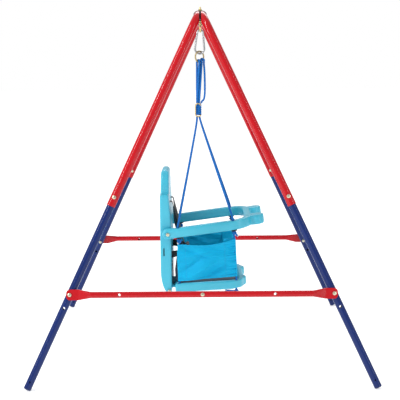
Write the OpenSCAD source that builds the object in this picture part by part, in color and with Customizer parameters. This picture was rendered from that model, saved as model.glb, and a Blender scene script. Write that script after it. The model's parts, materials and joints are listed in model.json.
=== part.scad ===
// Toddler swing set: two bent tube frames that lean together, two crossbars,
// and a moulded bucket seat hung from one eye bolt by a snap hook, a ring and ropes.
// Millimetres, +Z up, +X the way the seat faces, origin on the floor under the eye bolt.

/* [Frame] */
// Height of the top bars' axis above the floor
frame_h = 1184; // [1100:1:1500]
// Distance in X from the middle to a foot's axis
foot_x = 562; // [480:1:640]
// Distance in Y from the middle to a foot's axis
foot_y = 480; // [440:1:540]
// Distance in Y from the middle to the corner where a leg's axis meets the top bar's
corner_y = 254; // [240:1:300]
// Radius of the top corner bends, on the axis
bend_r = 80; // [60:1:90]
// Distance in X from the middle to a top bar's axis
top_off = 6; // [5:0.5:8]
// Outer diameter of the upper tubes
upper_d = 28; // [26:0.5:34]
// Wall of the upper tubes
upper_wall = 1.4; // [1:0.1:2]
// Wall of the lower legs
lower_wall = 1.5; // [1:0.1:2.5]
// Length of an upper tube's leg, from the corner to its lower end
upper_len = 680; // [600:1:720]
// Length of the lower leg that slips inside the upper one
slip_len = 60; // [50:1:90]
// Width of the gap between the pressed flats of the two top bars
bar_gap = 6.5; // [6.2:0.1:7.5]

/* [Crossbars] */
// Height of the crossbars above the floor
cross_z = 300; // [200:1:420]
// Outer diameter of a crossbar
cross_d = 20; // [18:0.5:24]
// Wall of a crossbar
cross_wall = 1.5; // [1:0.1:2.5]
// Height of a crossbar's flattened end
paddle_h = 34; // [30:1:40]
// Thickness of a crossbar's flattened end
paddle_t = 4; // [3:0.5:6]
// Length of the neck between a flattened end and the round tube
neck_len = 40; // [25:1:60]
// Length of the spigot that joins the two halves of a crossbar
spigot_len = 60; // [50:1:90]
// Diameter of the spare holes through the bars and the legs
spare_hole_d = 9; // [6:0.5:10]

/* [Fasteners] */
// Diameter of the frame's bolts
bolt_d = 6; // [5:0.5:6]
// Diameter of the bolts' button heads
head_d = 12; // [11:0.5:14]
// Across flats of the nuts
nut_af = 10; // [9:0.5:11]

/* [Hanger] */
// Mean radius of the eye bolt's eye
eye_r = 10.5; // [9.5:0.5:13]
// Thickness of the eye bolt's wire
eye_wire = 5.5; // [5:0.5:6]
// Thickness of the snap hook's rod
hook_d = 7; // [6:0.5:8]
// Length of the snap hook, rod axis to rod axis
hook_len = 82; // [76:1:96]
// Mean radius of the ring under the snap hook
ring_r = 19; // [17:0.5:23]
// Thickness of the ring's wire
ring_wire = 5.5; // [4:0.5:6]
// Diameter of the rope
rope_d = 7; // [6:0.5:8]

/* [Seat] */
// Half width of the seat's back
back_half_w = 128; // [120:1:134]
// Thickness of the back's lower part
back_t = 39; // [32:1:42]
// Thickness of the head rest
head_t = 30; // [24:1:32]
// Wall of the hollow back
skin = 3; // [2.5:0.1:5]
// Height of the back from its lower edge to its top
back_h = 445; // [420:1:500]
// Half width of the lap ring, outside
ring_half_w = 158; // [154:1:170]
// Width of the lap ring's bar, seen from above
rail_w = 26; // [22:1:28]
// Height of the lap ring's bar
rail_h = 36; // [30:1:40]
// Rise of the lap ring towards the front, in degrees
ring_rise = 7.5; // [5:0.5:9]
// Thickness of the seat base
base_t = 32; // [28:1:36]
// Diameter of the rope holes in the lap ring
rope_hole_d = 14; // [13:0.5:16]

/* [Hidden] */
$fn = 64;

REAR = -1;    // towards -X
FRONT = 1;    // towards +X
RIGHT = -1;   // towards -Y
LEFT = 1;     // towards +Y

fit = 0.1;        // radial clearance of parts that slide together
bolt_fit = 0.2;   // radial clearance of a bolt in its holes
eps = 0.01;

// ---------------------------------------------------------------- frame geometry
leg_len = norm([foot_x - top_off, foot_y - corner_y, frame_h]);
leg_run_x = (foot_x - top_off) / leg_len;
leg_drop = frame_h / leg_len;
side_lean = atan((foot_x - top_off) / frame_h);
leg_splay = atan((foot_y - corner_y) * cos(side_lean) / frame_h);
face_tilt = atan((foot_y - corner_y) / frame_h);
bend_turn = 90 - leg_splay;
bend_run = bend_r * tan(bend_turn / 2);
bar_half = corner_y - bend_run;
lower_d = upper_d - 2 * upper_wall - 2 * fit;
foot_plug_t = 4;
foot_skirt = 16;
foot_edge_r = 3;

// The plane of one bent tube: X is its normal and the legs run down -Z.
module on_side(s) {
    translate([s * top_off, 0, frame_h]) rotate([0, -s * side_lean, 0]) children();
}

// One leg's axis: the origin at its corner and -Z down the leg.
module on_leg(s, f) {
    on_side(s) translate([0, f * corner_y, 0]) rotate([f * leg_splay, 0, 0]) children();
}

// The plane of the two front or the two rear legs: f * Y is outward.
module on_face(f) {
    translate([0, f * corner_y, frame_h]) rotate([f * face_tilt, 0, 0]) children();
}

// A point on a leg's axis, d from its corner, with +Z outward from the face.
module at_leg(s, f, d) {
    on_face(f)
        translate([s * (top_off + d * leg_run_x), 0, -d * leg_drop / cos(face_tilt)])
            rotate([-f * 90, 0, 0]) children();
}

function leg_at_height(z) = (frame_h - z) / leg_drop;

joint_d = upper_len - slip_len / 2;          // the bolt through both tubes of a leg
cross_at = leg_at_height(cross_z);
spare_at = leg_at_height(cross_z - 42);
foot_hole_at = leg_len - 32;

module cross_bore(s, f, d, dia) {
    at_leg(s, f, d) cylinder(d = dia, h = 3 * upper_d, center = true);
}

// ---------------------------------------------------------------- bent upper tubes
// Each straight piece runs a little into the bend, which is a hair thicker, so they join soundly.
lap = 1.5;
collar = 0.06;
beyond = 2000;               // the size of a block that reaches past the whole frame

module bend(r) {
    translate([0, bar_half, -bend_r]) rotate([90, 0, 90]) rotate([0, 0, 90 - bend_turn])
        rotate_extrude(angle = bend_turn, $fn = 96) translate([bend_r, 0]) circle(r = r + collar);
}

module bent_solid(s, r, overrun) {
    on_side(s) {
        rotate([90, 0, 0]) cylinder(r = r, h = 2 * (bar_half + lap), center = true);
        for (f = [RIGHT, LEFT]) {
            mirror([0, f < 0 ? 1 : 0, 0]) {
                bend(r);
                translate([0, corner_y, 0]) rotate([leg_splay, 0, 0]) translate([0, 0, -upper_len - overrun])
                    cylinder(r = r, h = upper_len + overrun - bend_run + lap);
            }
        }
    }
}

// Everything on side s of the plane X = s * gap, so that the bars' flats are pressed.
module side_half(s, gap) {
    translate([s > 0 ? gap : -gap - beyond, -beyond / 2, -beyond / 2]) cube([beyond, beyond, 2 * beyond]);
}

module upper_tube(s) {
    difference() {
        intersection() {
            bent_solid(s, upper_d / 2, 0);
            side_half(s, bar_gap / 2);
        }
        intersection() {
            bent_solid(s, upper_d / 2 - upper_wall, 1);
            side_half(s, bar_gap / 2 + upper_wall);
        }
        for (f = [RIGHT, LEFT]) cross_bore(s, f, joint_d, bolt_d + 2 * bolt_fit);
    }
}

module rear_upper_tube() { color("crimson") upper_tube(REAR); }
module front_upper_tube() { color("crimson") upper_tube(FRONT); }

// ---------------------------------------------------------------- lower legs
leg_end = leg_len - foot_plug_t - lower_d / 2 * tan(acos(leg_drop)) + 1;

module lower_leg(s, f) {
    length = leg_end - (upper_len - slip_len);
    difference() {
        on_leg(s, f) translate([0, 0, -leg_end]) difference() {
            cylinder(d = lower_d, h = length);
            translate([0, 0, -1]) cylinder(d = lower_d - 2 * lower_wall, h = length + 2);
        }
        cross_bore(s, f, joint_d, bolt_d + 2 * bolt_fit);
        cross_bore(s, f, cross_at, bolt_d + 2 * bolt_fit);
        cross_bore(s, f, spare_at, spare_hole_d);
        cross_bore(s, f, foot_hole_at, bolt_d);
    }
}

module rear_right_leg() { color("midnightblue") lower_leg(REAR, RIGHT); }
module rear_left_leg() { color("midnightblue") lower_leg(REAR, LEFT); }
module front_right_leg() { color("midnightblue") lower_leg(FRONT, RIGHT); }
module front_left_leg() { color("midnightblue") lower_leg(FRONT, LEFT); }

// A plug in a leg's open end: a skirt inside the tube and a rounded head, worn flat on the floor.
module foot_plug(s, f) {
    skirt_d = lower_d - 2 * lower_wall - 2 * fit;
    edge_r = foot_edge_r;
    intersection() {
        on_leg(s, f) translate([0, 0, -leg_end]) {
            cylinder(d = skirt_d, h = foot_skirt);
            rotate_extrude() {
                translate([0, -foot_plug_t]) square([lower_d / 2 - edge_r, foot_plug_t]);
                translate([0, -foot_plug_t + edge_r]) square([lower_d / 2, foot_plug_t - edge_r]);
                intersection() {
                    translate([lower_d / 2 - edge_r, edge_r - foot_plug_t]) circle(r = edge_r);
                    translate([0, -foot_plug_t]) square([lower_d / 2, edge_r]);
                }
            }
        }
        translate([-beyond / 2, -beyond / 2, 0]) cube([beyond, beyond, beyond]);
    }
}

module foot_plugs() {
    color("navy") for (s = [REAR, FRONT], f = [RIGHT, LEFT]) foot_plug(s, f);
}

// ---------------------------------------------------------------- crossbars
paddle_x = top_off + cross_at * leg_run_x;    // the bolt through a flattened end
paddle_end = 11;                              // from that bolt to the end of the bar
paddle_in = 28;                               // from that bolt to where the neck starts
seam_x = 24;                                  // the seam between the two halves
cross_bolt_x = 2;
spigot_d = cross_d - 2 * cross_wall - 2 * fit;
spigot_stop = 12;                             // how far the spigot is held inside its own half
spare_x_socket = 262;                         // the spare hole in each half, from the middle
spare_x_spigot = 232;

// A crossbar's own frame: +X along the bar, +Z outward, the flats' inner face at Z = 0.
module on_bar(f) {
    on_face(f) translate([0, 0, -cross_at * leg_drop / cos(face_tilt)])
        rotate([-f * 90, 0, 0]) translate([0, 0, lower_d / 2]) children();
}

// The half towards +X, which the other one mirrors: flattened end, neck and tube.
module bar_half_solid(tube_from) {
    corner_r = 12;
    start = paddle_x - paddle_in;
    linear_extrude(paddle_t) {
        translate([start, -paddle_h / 2]) square([paddle_in + paddle_end - corner_r, paddle_h]);
        translate([start, -paddle_h / 2 + corner_r])
            square([paddle_in + paddle_end, paddle_h - 2 * corner_r]);
        for (y = [-1, 1]) translate([paddle_x + paddle_end - corner_r, y * (paddle_h / 2 - corner_r)])
            circle(r = corner_r);
    }
    hull() {
        translate([start - eps, -paddle_h / 2, 0]) cube([eps, paddle_h, paddle_t]);
        translate([start - neck_len, 0, cross_d / 2]) rotate([0, -90, 0])
            cylinder(d = cross_d, h = eps, $fn = 32);
    }
    translate([tube_from, 0, cross_d / 2]) rotate([0, 90, 0])
        cylinder(d = cross_d, h = start - neck_len - tube_from);
}

module bar_bores(middle_x, tube_from, spare_x) {
    tube_to = paddle_x - paddle_in - neck_len - 4;
    translate([tube_from - 1, 0, cross_d / 2]) rotate([0, 90, 0])
        cylinder(d = cross_d - 2 * cross_wall, h = tube_to - tube_from);
    translate([paddle_x, 0, -1]) cylinder(d = bolt_d + 2 * bolt_fit, h = paddle_t + 2);
    translate([middle_x, 0, -1]) cylinder(d = bolt_d + 2 * bolt_fit, h = cross_d + 2);
    translate([spare_x, 0, -1]) cylinder(d = spare_hole_d, h = cross_d + 2);
}

// The half with the socket reaches past the middle to the seam.
module crossbar_socket(f) {
    on_bar(f) mirror([1, 0, 0]) difference() {
        bar_half_solid(-seam_x);
        bar_bores(-cross_bolt_x, -seam_x, spare_x_socket);
    }
}

// The half with the spigot starts at the seam.
module crossbar_spigot(f) {
    on_bar(f) {
        difference() {
            bar_half_solid(seam_x);
            bar_bores(cross_bolt_x, seam_x + spigot_stop, spare_x_spigot);
            translate([seam_x - 1, 0, cross_d / 2]) rotate([0, 90, 0])
                cylinder(d = spigot_d - 2 * cross_wall, h = spigot_stop + 8);
        }
        difference() {
            translate([seam_x - spigot_len, 0, cross_d / 2]) rotate([0, 90, 0])
                cylinder(d = spigot_d, h = spigot_len);
            translate([seam_x - spigot_len - 1, 0, cross_d / 2]) rotate([0, 90, 0])
                cylinder(d = spigot_d - 2 * cross_wall, h = spigot_len + 2);
            translate([cross_bolt_x, 0, -1]) cylinder(d = bolt_d + 2 * bolt_fit, h = cross_d + 2);
        }
    }
}

module right_crossbar_socket() { color("firebrick") crossbar_socket(RIGHT); }
module right_crossbar_spigot() { color("firebrick") crossbar_spigot(RIGHT); }
module left_crossbar_socket() { color("firebrick") crossbar_socket(LEFT); }
module left_crossbar_spigot() { color("firebrick") crossbar_spigot(LEFT); }

// ---------------------------------------------------------------- bolts and nuts
head_h = 4;
key_af = 4;                  // the hexagon socket in a bolt's head
key_depth = 2;
nut_h = 5.5;
thread_fit = 0.05;

// A button-head bolt: the head's underside at Z = 0, the shank down -Z.
module button_bolt(length) {
    translate([0, 0, -length]) cylinder(d = bolt_d, h = length + eps);
    button_head();
}

module button_head() {
    difference() {
        intersection() {
            translate([0, 0, head_h - head_d]) sphere(r = head_d);
            cylinder(d = head_d, h = head_h);
        }
        translate([0, 0, head_h - key_depth]) cylinder(d = key_af / cos(30), h = key_depth + 1, $fn = 6);
    }
}

// A hexagon nut with a bore that clears the thread.
module hex_nut() {
    difference() {
        cylinder(d = nut_af / cos(30), h = nut_h, $fn = 6);
        translate([0, 0, -1]) cylinder(r = bolt_d / 2 + thread_fit, h = nut_h + 2);
    }
}

module at_leg_joints() {
    for (s = [REAR, FRONT], f = [RIGHT, LEFT]) at_leg(s, f, joint_d) children();
}

module leg_bolts() {
    color("silver") at_leg_joints() translate([0, 0, upper_d / 2]) button_bolt(upper_d + nut_h + 2);
}

module leg_nuts() {
    color("silver") at_leg_joints() translate([0, 0, -upper_d / 2 - nut_h]) hex_nut();
}

module at_bar_ends() {
    for (s = [REAR, FRONT], f = [RIGHT, LEFT]) on_bar(f) translate([s * paddle_x, 0, 0]) children();
}

module crossbar_end_bolts() {
    color("silver") at_bar_ends() translate([0, 0, paddle_t]) button_bolt(paddle_t + lower_d + nut_h + 2);
}

module crossbar_end_nuts() {
    color("silver") at_bar_ends() translate([0, 0, -lower_d - nut_h]) hex_nut();
}

module crossbar_middle_bolts() {
    color("silver") for (f = [RIGHT, LEFT]) on_bar(f) translate([cross_bolt_x, 0, cross_d])
        button_bolt(cross_d + nut_h + 2);
}

module crossbar_middle_nuts() {
    color("silver") for (f = [RIGHT, LEFT]) on_bar(f) translate([cross_bolt_x, 0, -nut_h]) hex_nut();
}

// ---------------------------------------------------------------- top saddles
saddle_t = 3;
saddle_len = 30;
saddle_y = 150;
saddle_pad_w = 18;

// The outline of a saddle over both bars, in the XZ plane about the bars' axis height.
module saddle_outline() {
    difference() {
        union() {
            for (s = [REAR, FRONT]) translate([s * top_off, 0]) circle(d = upper_d + 2 * (fit + saddle_t));
            translate([-saddle_pad_w / 2, 0]) square([saddle_pad_w, upper_d / 2 + fit + saddle_t]);
        }
        for (s = [REAR, FRONT]) translate([s * top_off, 0]) circle(d = upper_d + 2 * fit);
        translate([-50, -50]) square([100, 55]);
        translate([-bar_gap / 2, -1]) square([bar_gap, upper_d / 2 + 0.5]);
    }
}

module saddle(y, up) {
    translate([0, y, frame_h]) mirror([0, 0, up ? 0 : 1]) difference() {
        rotate([90, 0, 0]) linear_extrude(saddle_len, center = true) saddle_outline();
        cylinder(d = bolt_d + 2 * bolt_fit, h = 100, center = true);
    }
}

module right_upper_saddle() { color("black") saddle(-saddle_y, true); }
module middle_upper_saddle() { color("black") saddle(0, true); }
module left_upper_saddle() { color("black") saddle(saddle_y, true); }
module right_lower_saddle() { color("black") saddle(-saddle_y, false); }
module middle_lower_saddle() { color("black") saddle(0, false); }
module left_lower_saddle() { color("black") saddle(saddle_y, false); }

// Strips between the flats of the two bars, broken at each bolt.
module bar_spacers() {
    bolt_room = bolt_d / 2 + 1;
    spacer_end = bar_half + 22;
    spacer_h = upper_d - 3;
    color("black") for (f = [RIGHT, LEFT]) {
        for (span = [[bolt_room, saddle_y - bolt_room], [saddle_y + bolt_room, spacer_end]])
            translate([-bar_gap / 2, f > 0 ? span[0] : -span[1], frame_h - spacer_h / 2])
                cube([bar_gap, span[1] - span[0], spacer_h]);
    }
}

saddle_top = upper_d / 2 + fit + saddle_t;

module saddle_bolts() {
    color("goldenrod") for (f = [RIGHT, LEFT]) translate([0, f * saddle_y, frame_h - saddle_top])
        mirror([0, 0, 1]) button_bolt(2 * saddle_top + nut_h + 3);
}

module saddle_nuts() {
    color("goldenrod") for (f = [RIGHT, LEFT]) translate([0, f * saddle_y, frame_h + saddle_top]) hex_nut();
}

// ---------------------------------------------------------------- eye bolt
eye_neck = 6;                // bare shank between the saddle and the eye
eye_stub = 22;               // thread above the upper saddle
eye_z = frame_h - saddle_top - eye_neck - eye_wire / 2 - eye_r;
washer_t = 1.6;
wire_z = eye_z - eye_r;      // the bottom of the eye, which the snap hook hangs on

module eye_bolt() {
    color("goldenrod") {
        translate([0, 0, eye_z]) rotate([0, 90, 0])
            rotate_extrude() translate([eye_r, 0]) circle(d = eye_wire, $fn = 32);
        translate([0, 0, eye_z + eye_r])
            cylinder(d = bolt_d, h = frame_h + saddle_top + eye_stub - eye_z - eye_r);
    }
}

module eye_bolt_washer() {
    color("goldenrod") translate([0, 0, frame_h + saddle_top]) difference() {
        cylinder(d = head_d + 0.5, h = washer_t);
        translate([0, 0, -1]) cylinder(d = bolt_d + 2 * bolt_fit, h = washer_t + 2);
    }
}

module eye_bolt_nut() {
    color("goldenrod") translate([0, 0, frame_h + saddle_top + washer_t]) hex_nut();
}

// ---------------------------------------------------------------- snap hook
hook_top_r = 10;       // bend radius at the narrow end, on the rod's axis
hook_low_r = 16.5;     // bend radius at the wide end
hook_sway = 2.5;       // how far the hook leans from the vertical, in degrees
hook_drop = (eye_wire + hook_d) / 2 + 0.05;    // rod axis above the eye's wire axis
hook_span = hook_len - hook_top_r - hook_low_r;
hook_flank = asin((hook_low_r - hook_top_r) / hook_span);
hook_flank_len = hook_span * cos(hook_flank);

// The hook's frame: XZ is its plane, the origin on the eye's wire.
module on_hook() {
    translate([0, 0, wire_z]) rotate([0, hook_sway, 0])
        translate([0, 0, hook_drop - hook_top_r]) children();
}

module rod_arc(radius, from, turn) {
    rotate([90, 0, 0]) rotate([0, 0, from])
        rotate_extrude(angle = turn, $fn = 96) translate([radius, 0]) circle(r = hook_d / 2 + collar, $fn = 32);
}

// A point on the flank on side s, t from the narrow end, with -Z towards the wide end.
module on_flank(s) {
    rotate([0, s * -hook_flank, 0]) translate([s * hook_top_r, 0, 0]) children();
}

gate_from = 12;                          // the gate's hinge, from the narrow end
gate_to = hook_flank_len - 6;            // the gate's free end
gate_ear = 5;                            // the hook's ears reach this far past the gate's hinge
gate_gap = 0.4;
gate_shoulder = 1.1;                     // room for the gate to turn inwards
tongue_t = 2.6;                          // the gate's tongue, which turns between the ears
pin_d = 2.5;
pin_fit = 0.05;

module snap_hook() {
    color("silver") on_hook() {
        rod_arc(hook_top_r, hook_flank, 180 - 2 * hook_flank);
        translate([0, 0, -hook_span]) rod_arc(hook_low_r, 180 - hook_flank, 180 + 2 * hook_flank);
        on_flank(REAR) translate([0, 0, -hook_flank_len - lap / 2])
            cylinder(d = hook_d, h = hook_flank_len + lap);
        difference() {
            on_flank(FRONT) translate([0, 0, -gate_from - gate_ear])
                cylinder(d = hook_d, h = gate_from + gate_ear + lap / 2);
            gate_slot();
            gate_pin_bore();
        }
        on_flank(FRONT) translate([0, 0, -hook_flank_len - lap / 2])
            cylinder(d = hook_d, h = hook_flank_len - gate_to - gate_gap + lap / 2);
    }
}

// The slot that the gate's tongue turns in.
module gate_slot() {
    slot_w = tongue_t + 2 * side_gap;
    on_flank(FRONT) translate([-hook_d, -slot_w / 2, -gate_from - gate_ear - 1])
        cube([2 * hook_d, slot_w, 2 * gate_ear + 1]);
}

module gate_pin_bore() {
    on_flank(FRONT) translate([0, 0, -gate_from]) rotate([90, 0, 0])
        cylinder(r = pin_d / 2 + pin_fit, h = 2 * hook_d, center = true);
}

module snap_hook_gate() {
    tongue_w = hook_d - 1;
    color("silver") on_hook() difference() {
        on_flank(FRONT) {
            translate([0, 0, -gate_to]) cylinder(d = hook_d, h = gate_to - gate_from - gate_ear - gate_shoulder);
            intersection() {
                union() {
                    translate([0, 0, -gate_from]) rotate([90, 0, 0])
                        cylinder(d = tongue_w, h = tongue_t, center = true);
                    translate([-tongue_w / 2, -tongue_t / 2, -gate_from - 8]) cube([tongue_w, tongue_t, 8]);
                }
                translate([0, 0, -gate_from - 10]) cylinder(d = hook_d, h = 20);
            }
        }
        gate_pin_bore();
    }
}

module gate_pin() {
    color("gray") on_hook() on_flank(FRONT) translate([0, 0, -gate_from]) rotate([90, 0, 0])
        cylinder(d = pin_d, h = hook_d - 2 * side_gap, center = true);
}

// ---------------------------------------------------------------- ring
ring_turn = 40;             // turn of the ring's plane out of the hook's plane
hook_low = [
    -sin(hook_sway) * (hook_len - hook_drop),
    0,
    wire_z - cos(hook_sway) * (hook_len - hook_drop)
];
ring_lift = 1.9;            // the two curved wires near each other beside their tops
ring_c = hook_low + [0, 0, (hook_d + ring_wire) / 2 + ring_lift - ring_r];

module rope_ring() {
    color("darkgoldenrod") translate(ring_c) rotate([0, 0, ring_turn]) rotate([90, 0, 0])
        rotate_extrude($fn = 96) translate([ring_r, 0]) circle(d = ring_wire, $fn = 32);
}

// ---------------------------------------------------------------- ropes
// Sweeps a tube along points; each ring stands square to the way the path goes.
function path_dir(p, i) =
    let (a = p[max(i - 1, 0)], b = p[min(i + 1, len(p) - 1)]) (b - a) / norm(b - a);

// Ring directions are carried along the path without twist.
function path_frames(p, i = 0, side = undef, out = []) =
    i == len(p) ? out :
    let (
        d = path_dir(p, i),
        guess = side == undef ? (abs(d.y) < 0.9 ? [0, 1, 0] : [1, 0, 0]) : side,
        u = guess - d * (guess * d),
        n = u / norm(u)
    )
    path_frames(p, i + 1, n, concat(out, [[n, cross(d, n)]]));

module tube_along(p, radii, sides) {
    frames = path_frames(p);
    points = [
        for (i = [0 : len(p) - 1], k = [0 : sides - 1])
            p[i] + radii[i] * (cos(360 * k / sides) * frames[i][0] + sin(360 * k / sides) * frames[i][1])
    ];
    walls = [
        for (i = [0 : len(p) - 2], k = [0 : sides - 1])
            let (a = i * sides + k, b = i * sides + (k + 1) % sides)
            each [[a, b, b + sides], [a, b + sides, a + sides]]
    ];
    last = (len(p) - 1) * sides;
    caps = [[for (k = [sides - 1 : -1 : 0]) k], [for (k = [0 : sides - 1]) last + k]];
    polyhedron(points, concat(walls, caps), convexity = 4);
}

// A tube of one radius.
module rope_along(p) {
    tube_along(p, [for (q = p) rope_r], rope_sides);
}

// A smooth path through hand-chosen points, n rings to a span.
function spline(p, n) = [
    for (i = [0 : len(p) - 2], k = [0 : n - 1]) spline_point(p, i, k / n),
    p[len(p) - 1]
];

function spline_point(p, i, t) =
    let (
        a = p[max(i - 1, 0)], b = p[i], c = p[i + 1], d = p[min(i + 2, len(p) - 1)]
    )
    0.5 * (2 * b + (c - a) * t + (2 * a - 5 * b + 4 * c - d) * t * t + (3 * b - a - 3 * c + d) * t * t * t);

rope_sides = 10;
rope_r = rope_d / 2;
rope_gap = 0.35;             // air between a rope and what it bends over

// A point of the ring's axis, turned by angle from its lowest point.
ring_along = [cos(ring_turn), sin(ring_turn), 0];
ring_across = [-sin(ring_turn), cos(ring_turn), 0];
function ring_point(angle) = ring_c + ring_r * (sin(angle) * ring_along - [0, 0, cos(angle)]);

// A rope looped over the ring's wire, with both ends at the knot below.
function loop_path(angle, foot_a, foot_b) =
    let (
        c = ring_point(angle),
        up = (ring_c - c) / ring_r,
        reach = (ring_wire + rope_d) / 2 + rope_gap,
        over = [for (t = [0 : 22.5 : 180]) c + reach * (cos(t) * ring_across + sin(t) * up)]
    )
    concat(
        leg_points(foot_a, over[0]), over, leg_points(over[len(over) - 1], foot_b)
    );

// Points of a straight stretch between a and b, without its upper end.
function leg_points(a, b) =
    a.z < b.z
        ? [for (t = [0, 0.3, 0.6, 0.85]) a + t * (b - a)]
        : [for (t = [0.15, 0.4, 0.7, 1]) a + t * (b - a)];

// The knot under the ring: its axis, its lower and upper faces.
knot_x = -9.5;
knot_y = 2.5;
knot_low = 842;
knot_turns = 6;
knot_pitch = 7.5;
knot_high = knot_low + knot_turns * knot_pitch;
knot_core = 9;
strand = 3.9;                // half the distance between neighbouring strands
strand_z = knot_high + 0.3;

module hanger_loops() {
    color("dodgerblue") {
        rope_along(loop_path(-21, [knot_x - strand, strand, strand_z], [knot_x - strand, -strand, strand_z]));
        rope_along(loop_path(15, [knot_x + strand, strand, strand_z], [knot_x + strand, -strand, strand_z]));
    }
}

// The slack loop comes down outside the others and turns back into the knot.
SLACK_OUTER = [[14, 1, 1000], [15, 0, 960], [14.5, 0, 920], [11, 0, 901], [4, 0, 893], [2, 0, strand_z]];

module slack_loop() {
    over = loop_path(54, [knot_x, 11, strand_z], [12, 2, 1020]);
    color("royalblue") rope_along(spline(concat([for (i = [0 : len(over) - 2]) over[i]], SLACK_OUTER), 2));
}

// The turns of rope that bind the strands.
module rope_whipping() {
    color("royalblue") translate([knot_x, knot_y, knot_low]) rotate_extrude() {
        square([knot_core, knot_turns * knot_pitch]);
        for (i = [0 : knot_turns - 1]) translate([knot_core, (i + 0.5) * knot_pitch])
            circle(d = knot_pitch - 0.2, $fn = 24);
    }
}

// A wire hook beside the knot, which slides on the rope to set the seat's height.
adjuster_wire = 4;
adjuster_r = 10;

module adjuster_arc(z, from, turn) {
    translate([0, 0, z]) rotate([90, 0, 0]) rotate([0, 0, from])
        rotate_extrude(angle = turn) translate([adjuster_r, 0])
            circle(r = adjuster_wire / 2 + collar, $fn = 24);
}

module height_adjuster() {
    rise = 26;
    front_y = knot_y - knot_core - knot_pitch / 2 - adjuster_wire / 2 - 0.2;
    color("gold") translate([knot_x, front_y, knot_low + 8]) {
        adjuster_arc(rise, 20, 160);
        translate([-adjuster_r, 0, -lap / 2]) cylinder(d = adjuster_wire, h = rise + lap, $fn = 24);
        adjuster_arc(0, 180, 140);
        rotate([0, 40, 0]) translate([adjuster_r, 0, 0]) sphere(d = adjuster_wire + 2, $fn = 32);
    }
}

// Each rope's route on the left side: x, y, z and the rope's radius, which swells at a knot.
SMALL = rope_r;
BIG = 9;
FRONT_ROUTE = [
    [-5.6, 3.9, 840.6, SMALL], [6, 18, 800, SMALL], [52, 74, 662, SMALL], [90, 120, 550, SMALL],
    [105, 138.5, 505, SMALL], [109, 143, 488, SMALL], [111, 143.5, 470, SMALL],
    [113.2, 143.5, 455, SMALL], [113.5, 143.5, 449.8, SMALL], [113.5, 143.5, 447.8, 7.5],
    [113.5, 143.5, 443, BIG], [113.5, 143.2, 438, 7.5], [113.6, 143, 434, SMALL], [117, 134, 360, SMALL], [121, 125.4, 290, SMALL],
    [122, 122.8, 268, SMALL], [122, 122, 250, SMALL], [122, 122, 236, SMALL], [122, 122, 233, 7.5],
    [122, 122, 228, BIG], [122, 122, 223, 7.5], [122, 122, 219, 3]
];
REAR_ROUTE = [
    [-13.4, 3.9, 840.6, SMALL], [-18, 12, 800, SMALL], [-44, 66, 662, SMALL], [-68, 114, 540, SMALL],
    [-79, 136.5, 485, SMALL], [-83, 142.5, 466, SMALL], [-82.3, 143.5, 446, SMALL],
    [-80.2, 143.5, 431, SMALL], [-79.8, 143.5, 424.4, SMALL], [-79.8, 143.5, 422.4, 7.5],
    [-79.8, 143, 417.5, BIG], [-79.8, 142, 412.6, 7.5], [-79.9, 141, 408.5, SMALL],
    [-80, 139.8, 400, SMALL], [-82, 134.4, 357, SMALL], [-80, 124, 277, SMALL],
    [-80, 122, 256, SMALL], [-80, 122, 240, SMALL], [-80, 122, 225, SMALL], [-80, 122, 222, 7.5],
    [-80, 122, 217, BIG], [-80, 122, 212, 7.5], [-80, 122, 208, 3]
];

// A rope with its knots, as one tube of varying radius.
module seat_rope(route, side) {
    path = spline([for (q = route) [q[0], side * q[1], q[2], q[3]]], 2);
    color("dodgerblue") tube_along([for (q = path) [q[0], q[1], q[2]]], [for (q = path) q[3]], rope_sides);
}

module front_right_rope() { seat_rope(FRONT_ROUTE, RIGHT); }
module front_left_rope() { seat_rope(FRONT_ROUTE, LEFT); }
module rear_right_rope() { seat_rope(REAR_ROUTE, RIGHT); }
module rear_left_rope() { seat_rope(REAR_ROUTE, LEFT); }

// ---------------------------------------------------------------- seat back
back_x = -146;               // the back's rear face
back_low = 212;              // the back's lower edge
shoulder_z = 575;            // where the head rest starts
heel_r = 200;                // the curve of the rear face towards the lower edge
heel_h = 90;                 // the height at which that curve starts, from the lower edge
head_half_w = 96;
head_inset = 2;
head_root = 60;              // how far the head rest reaches into the lower part
head_r = 62;
back_low_r = 46;             // corners of the lower part, seen from the front
back_top_r = 34;
back_front = back_x + back_t;
pivot_x = back_front - 11;   // the lap ring's pivot
pivot_z = 440;
base_pivot_x = back_front - 8;
base_pivot_z = 230;
screw_d = 6;
screw_len = 34;
side_gap = 0.3;
tongue_half_w = 60;
tongue_r = 8;                // half thickness of the base's tongue at its pivot
strap_w = 25;
strap_t = 1.6;
strap_slot = 4;
SHOULDER_Y = 50;
SHOULDER_SLOT_Z = 540;
WAIST_Z = 358;
WAIST_SLOT_Y = 100;

module rounded_plate(half_w, low, high, low_r, high_r) {
    translate([-half_w, low + low_r]) square([2 * half_w, high - low - low_r - high_r]);
    translate([-half_w + low_r, low]) square([2 * (half_w - low_r), low_r + eps]);
    translate([-half_w + high_r, high - high_r - eps]) square([2 * (half_w - high_r), high_r + eps]);
    for (s = [-1, 1]) {
        translate([s * (half_w - low_r), low + low_r]) circle(r = low_r);
        translate([s * (half_w - high_r), high - high_r]) circle(r = high_r);
    }
}

// A plate outline in Y and Z, extruded along +X.
module across(x, depth) {
    translate([x, 0, 0]) rotate([90, 0, 90]) linear_extrude(depth) children();
}

// The back's lower part, shrunk by inset on every side, whose rear face curves in to the lower edge.
module back_body(inset) {
    intersection() {
        across(back_x + inset, back_t - 2 * inset)
            rounded_plate(back_half_w - inset, back_low + inset, shoulder_z - inset,
                back_low_r - inset, back_top_r - inset);
        rotate([90, 0, 0]) linear_extrude(2 * back_half_w + 2, center = true) {
            translate([back_x + inset, back_low + heel_h]) square([back_t - 2 * inset, shoulder_z]);
            translate([back_x + heel_r, back_low + heel_h]) circle(r = heel_r - inset, $fn = 192);
        }
    }
}

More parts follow.
